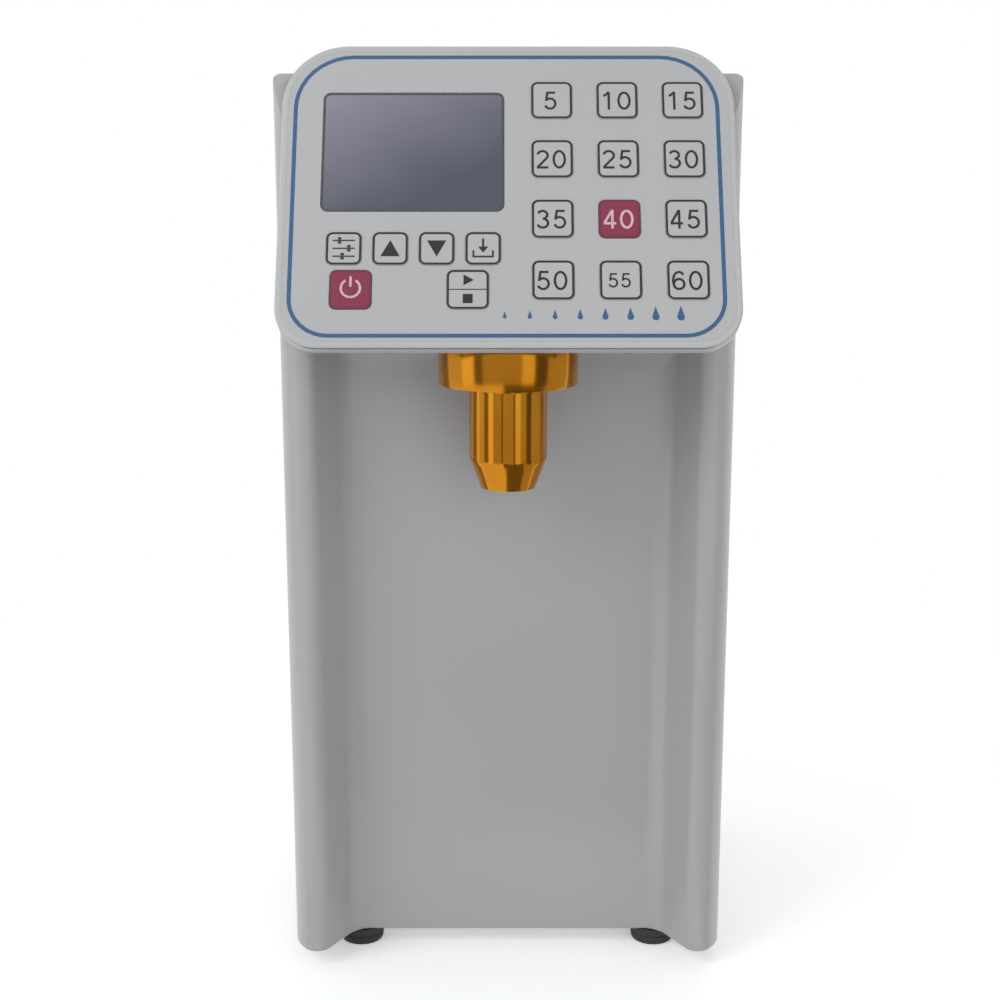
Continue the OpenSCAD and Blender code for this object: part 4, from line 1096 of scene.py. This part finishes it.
def inlet():
    """The power inlet: flange, three-pin socket and the well of the rocker."""
    w, h = inlet_high.x - inlet_low.x, inlet_high.z - inlet_low.z
    front, rear = inlet_high.y, inlet_low.y
    rocker_z = middle(*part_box("switch_rocker"))[2]
    socket_z = inlet_low.z + 15 * MM
    bm = bmesh.new()

    def outline(inset, r=4 * MM):
        return moved(rounded(w - 2 * inset, h - 2 * inset, r, 6), inlet_x, inlet_z)

    edge = 0.5 * MM
    rings = loft(bm, [flat_ring(outline(FLANGE_IN, 1.5 * MM), y) for y in (rear, cover_y)]
                 + [flat_ring(outline(inset), y) for inset, y in
                    ((0, cover_y), (0, front - edge), (edge * 0.3, front - edge * 0.3),
                     (edge, front))], cap_start=True)
    face = [rings[-1]]
    cut = 4.2 * MM
    sx, sz = 12.25 * MM, 8.4 * MM
    socket = [(-sx, -sz), (sx, -sz), (sx, sz - cut), (sx - cut, sz), (cut - sx, sz),
              (-sx, sz - cut)]
    well = rounded(20 * MM, 20.6 * MM, 0.8 * MM, 4)
    for line, z, depth in ((socket, socket_z, 16 * MM), (well, rocker_z, 11 * MM)):
        made = loft(bm, [flat_ring(moved(line, inlet_x, z), y) for y in (front, front - depth)])
        face.append(made[0])
        bm.faces.new(made[1])
    fill(bm, face, (0, 1, 0))
    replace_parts(finish_mesh("inlet_moulding", bm, dark_plastic), "power_inlet")
    bm = bmesh.new()
    for x, z in off(inlet_x, socket_z, (-7, -2), (0, 2), (7, -2)):
        pin = [(moved(rounded(2 * k * MM, 4 * k * MM, 0.6 * k * MM, 3), x, z), front - y)
               for k, y in ((1, 16.2 * MM), (1, 7 * MM), (0.9, 6.5 * MM))]
        loft(bm, [flat_ring(line, y) for line, y in pin], cap_start=True, cap_end=True)
    finish_mesh("inlet_pins", bm, plated_steel)


def rocker_marks():
    """On and off marks on the rocker, a bar above and a ring below."""
    pivot = Vector(joint_of("power_rocker")["pos_m"])
    tilt = math.radians(10)
    bar = [(-0.35, -1.8), (0.35, -1.8), (0.35, 1.8), (-0.35, 1.8)]
    ring = [arc(0, 0, r, 0, 348, 30) for r in (1.9, 1.25)]
    bm = bmesh.new()
    for upper, lines in ((1, [bar]), (-1, ring)):
        points = [pivot + Vector((0, a * math.sin(tilt) + b * math.cos(tilt),
                                  b * math.sin(tilt) - a * math.cos(tilt)))
                  for a, b in off(0, 0, (0, 1.9), (-9.4 * upper, 3.2))]
        along = (points[1] - points[0]).normalized()
        out = U.cross(along)
        if out.y < 0:
            out = -out
        spot = points[0].lerp(points[1], 0.55)
        lows, tops = [], []
        walls(bm, ([[spot + U * (x * MM) + along * (z * MM) + out * w for x, z in line]
                    for w in (0.0, INK_T)] for line in lines), lows, tops)
        fill(bm, tops, out)
        fill(bm, lows, -out)
    finish_mesh("rocker_print", bm, white_ink, "rocker")


# Feet
def feet():
    """Four rubber feet, each with a groove and a hole for its screw."""
    low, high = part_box("rubber_feet")
    r = 12.5 * MM
    h = high.z - low.z
    profile = off(0, 0, (4.5, 6), (4.5, 0.4), (4.9, 0))
    profile += off(r, 0, (-2.3, 0), (-1.3, 0.3), (-0.9, 0.9))
    profile += [(r - back * MM, h * share)
                for back, share in ((0.5, 0.45), (0.9, 0.5), (0.5, 0.55), (0.1, 0.85))]
    profile += off(r, h, (-0.2, -0.3), (-0.5, 0)) + [(2.3 * MM, h), (2.3 * MM, 6 * MM)]
    bm = bmesh.new()
    for x in (low.x + r, high.x - r):
        for y in (low.y + r, high.y - r):
            ring_lathe(bm, profile, (x, y), 48)
    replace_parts(finish_mesh("feet_moulded", bm, rubber), "rubber_feet")


white_ink = ink("white_ink", (0.62, 0.62, 0.60))


# Everything in its place
body_skin()
head_skin()
deck_skin()
bezel()
film()
for name in KEYS:
    key_pad(name)
    key_mark(name)
panel_print()
collar()
spout()
valve_coil()
lid_skin()
knob()
cover_skin()
louvres()
screws()
inlet()
rocker_marks()
feet()


FINISHES = (
    (glass, "display_window"),
    (moulded("display_body", (0.026, 0.028, 0.034), 0.46, 0.10, 1500, 0.00003), "display_module"),
    (moulded("dome_film", (0.60, 0.60, 0.50), 0.34, 0.05, 900, 0.00002), "dome_sheet"),
    (moulded("board_green", (0.012, 0.085, 0.030), 0.36, 0.15, 700, 0.00004), "control_board"),
    (metal("tank_steel", (0.66, 0.665, 0.67), 0.28, (1, 1, 0.02), 1600), "reservoir_tank"),
    (moulded("heater_film", (0.42, 0.10, 0.02), 0.34, 0.12, 500, 0.00005), "heater_pad"),
    (moulded("white_silicone", (0.62, 0.62, 0.60), 0.46, 0.05, 1200, 0.00003), "lid_seal"),
    (moulded("motor_paint", (0.070, 0.075, 0.085), 0.36, 0.10, 900, 0.00004), "pump_motor"),
    (moulded("wire_sleeve", (0.014, 0.014, 0.015), 0.55, 0.25, 1800, 0.00012), "wire_loom"),
    (moulded("rocker_plastic", (0.022, 0.022, 0.024), 0.24, 0.08, coat=0.2), "switch_rocker"),
    (metal("gear_brass", (0.72, 0.53, 0.24), 0.30, grain=500), "drive_gear idler_gear"),
    (rubber, "collar_seal spout_o_ring tank_gasket"),
    (metal("cast_metal", (0.55, 0.56, 0.57), 0.42, grain=260, depth=0.00006),
     "pump_body pump_cover"),
    (turned_steel, "valve_ball valve_spring outlet_strainer drive_shaft foot_screws"),
    (moulded("hose_silicone", (0.58, 0.60, 0.59), 0.34, 0.05, 500, 0.00003),
     "suction_hose delivery_hose"),
    (plated_steel, "nozzle_nut motor_bracket hose_clamps power_supply base_plate"),
)
for material, names in FINISHES:
    for name in names.split():
        nodes[name].data.materials.clear()
        nodes[name].data.materials.append(material)

# Stage and light
for name in ("Cube", "Light", "Camera"):
    if name in bpy.data.objects:
        bpy.data.objects.remove(bpy.data.objects[name])


def glow(tree, tone, strength=1.0):
    """A grey that gives off light."""
    return put(tree, "Emission", {"Color": (tone, tone, tone, 1), "Strength": strength}).outputs[0]


def blend(tree, share, a, b):
    return put(tree, "MixShader", {0: share, 1: a, 2: b}).outputs[0]


def shine(tree, socket):
    """Makes a socket the material's surface."""
    tree.links.new(socket, tree.nodes["Material Output"].inputs["Surface"])


def white_floor():
    """A pale floor that keeps the object's shadow and turns to plain white further out."""
    material, tree, paint = shader("floor_paint")
    paint.inputs["Base Color"].default_value = (0.86, 0.86, 0.86, 1)
    paint.inputs["Roughness"].default_value = 0.9
    place = put(tree, "TexCoord").outputs["Object"]
    away = put(tree, "VectorMath", {0: place}, operation="LENGTH")
    far_out = spread(tree, away.outputs["Value"], 0.0, 1.0, 0.22, 0.75)
    near = put(tree, "AddShader", {0: paint.outputs[0], 1: glow(tree, 1, 0.30)})
    shown = blend(tree, far_out, near.outputs[0], glow(tree, 1))
    shine(tree, blend(tree, seen_directly(tree), paint.outputs[0], shown))
    return material


def seen_directly(tree):
    """1 for rays from the camera, and for mirrored and refracted ones."""
    paths = put(tree, "LightPath").outputs
    return maths(tree, "MAXIMUM", paths["Is Transmission Ray"],
                 maths(tree, "MAXIMUM", paths["Is Camera Ray"], paths["Is Glossy Ray"]))


bm = bmesh.new()
bm.faces.new([bm.verts.new(p) for p in ((-6, -4, 0), (6, -4, 0), (6, 8, 0), (-6, 8, 0))])
floor = made_of("floor", bm, white_floor())

world = bpy.data.worlds.new("studio")
scene.world = world
world.use_nodes = True
sky = world.node_tree
sky.nodes.clear()
soft = put(sky, "Background", {"Color": (0.93, 0.96, 1.0, 1), "Strength": 0.71})
white = put(sky, "Background", {"Color": (1, 1, 1, 1), "Strength": 1.0})
both = blend(sky, seen_directly(sky), soft.outputs[0], white.outputs[0])
put(sky, "OutputWorld", {"Surface": both})


def lamp(name, place, aim, size, power, colour=(1, 1, 1)):
    light = bpy.data.lights.new(name, "AREA")
    light.shape = "RECTANGLE"
    light.size, light.size_y = size
    light.energy = power
    light.color = colour
    holder = bpy.data.objects.new(name, light)
    scene.collection.objects.link(holder)
    holder.location = place
    holder.rotation_euler = (Vector(aim) - Vector(place)).to_track_quat("-Z", "Y").to_euler()


lamp("key_light", (-1.5, -1.2, 1.6), (0, 0, 0.3), (1.3, 1.3), 19, (1.0, 0.995, 0.985))
lamp("front_light", (0.6, -2.1, 0.7), (0, 0, 0.25), (1.2, 1.2), 7)
lamp("fill_light", (1.8, -0.9, 1.0), (0, 0, 0.25), (1.4, 1.4), 0.5)
lamp("back_light", (0.4, 1.9, 1.6), (0, 0, 0.3), (1.4, 1.0), 12)


CARD_R = 0.8


def card(name, start, end, tone, near=None):
    """A grey card for mirrored rays only, between two angles from straight in front of the nozzle.
    It stands round the nozzle, or lies on the floor from the radius near."""
    bm = bmesh.new()
    loft(bm, [at_height(arc(*nozzle, radius, start - 90, end - 90, 8), z) for radius, z in
              ((near or CARD_R, 0.001), (CARD_R, 0.001 if near else 0.8))], closed=False)
    material, tree, _ = shader(name)
    shine(tree, glow(tree, tone))
    stand = made_of(name, bm, material)
    stand.visible_camera = stand.visible_diffuse = False
    stand.visible_shadow = stand.visible_transmission = False


card("card_far_left", -112, -80, 0.60)
card("card_bright_left", -80, -57, 0.95)
card("card_left", -57, -42, 0.16)
card("card_front", -42, 22, 0.42)
card("card_bright_right", 22, 43, 0.80)
card("card_right", 43, 66, 0.10)
card("card_far_right", 66, 110, 0.42)
card("floor_card_left", -100, -8, 0.78, 0.12)
card("floor_card_front", -8, 62, 0.14, 0.12)
card("floor_card_right", 62, 100, 0.42, 0.12)

scene.view_settings.view_transform = "Standard"
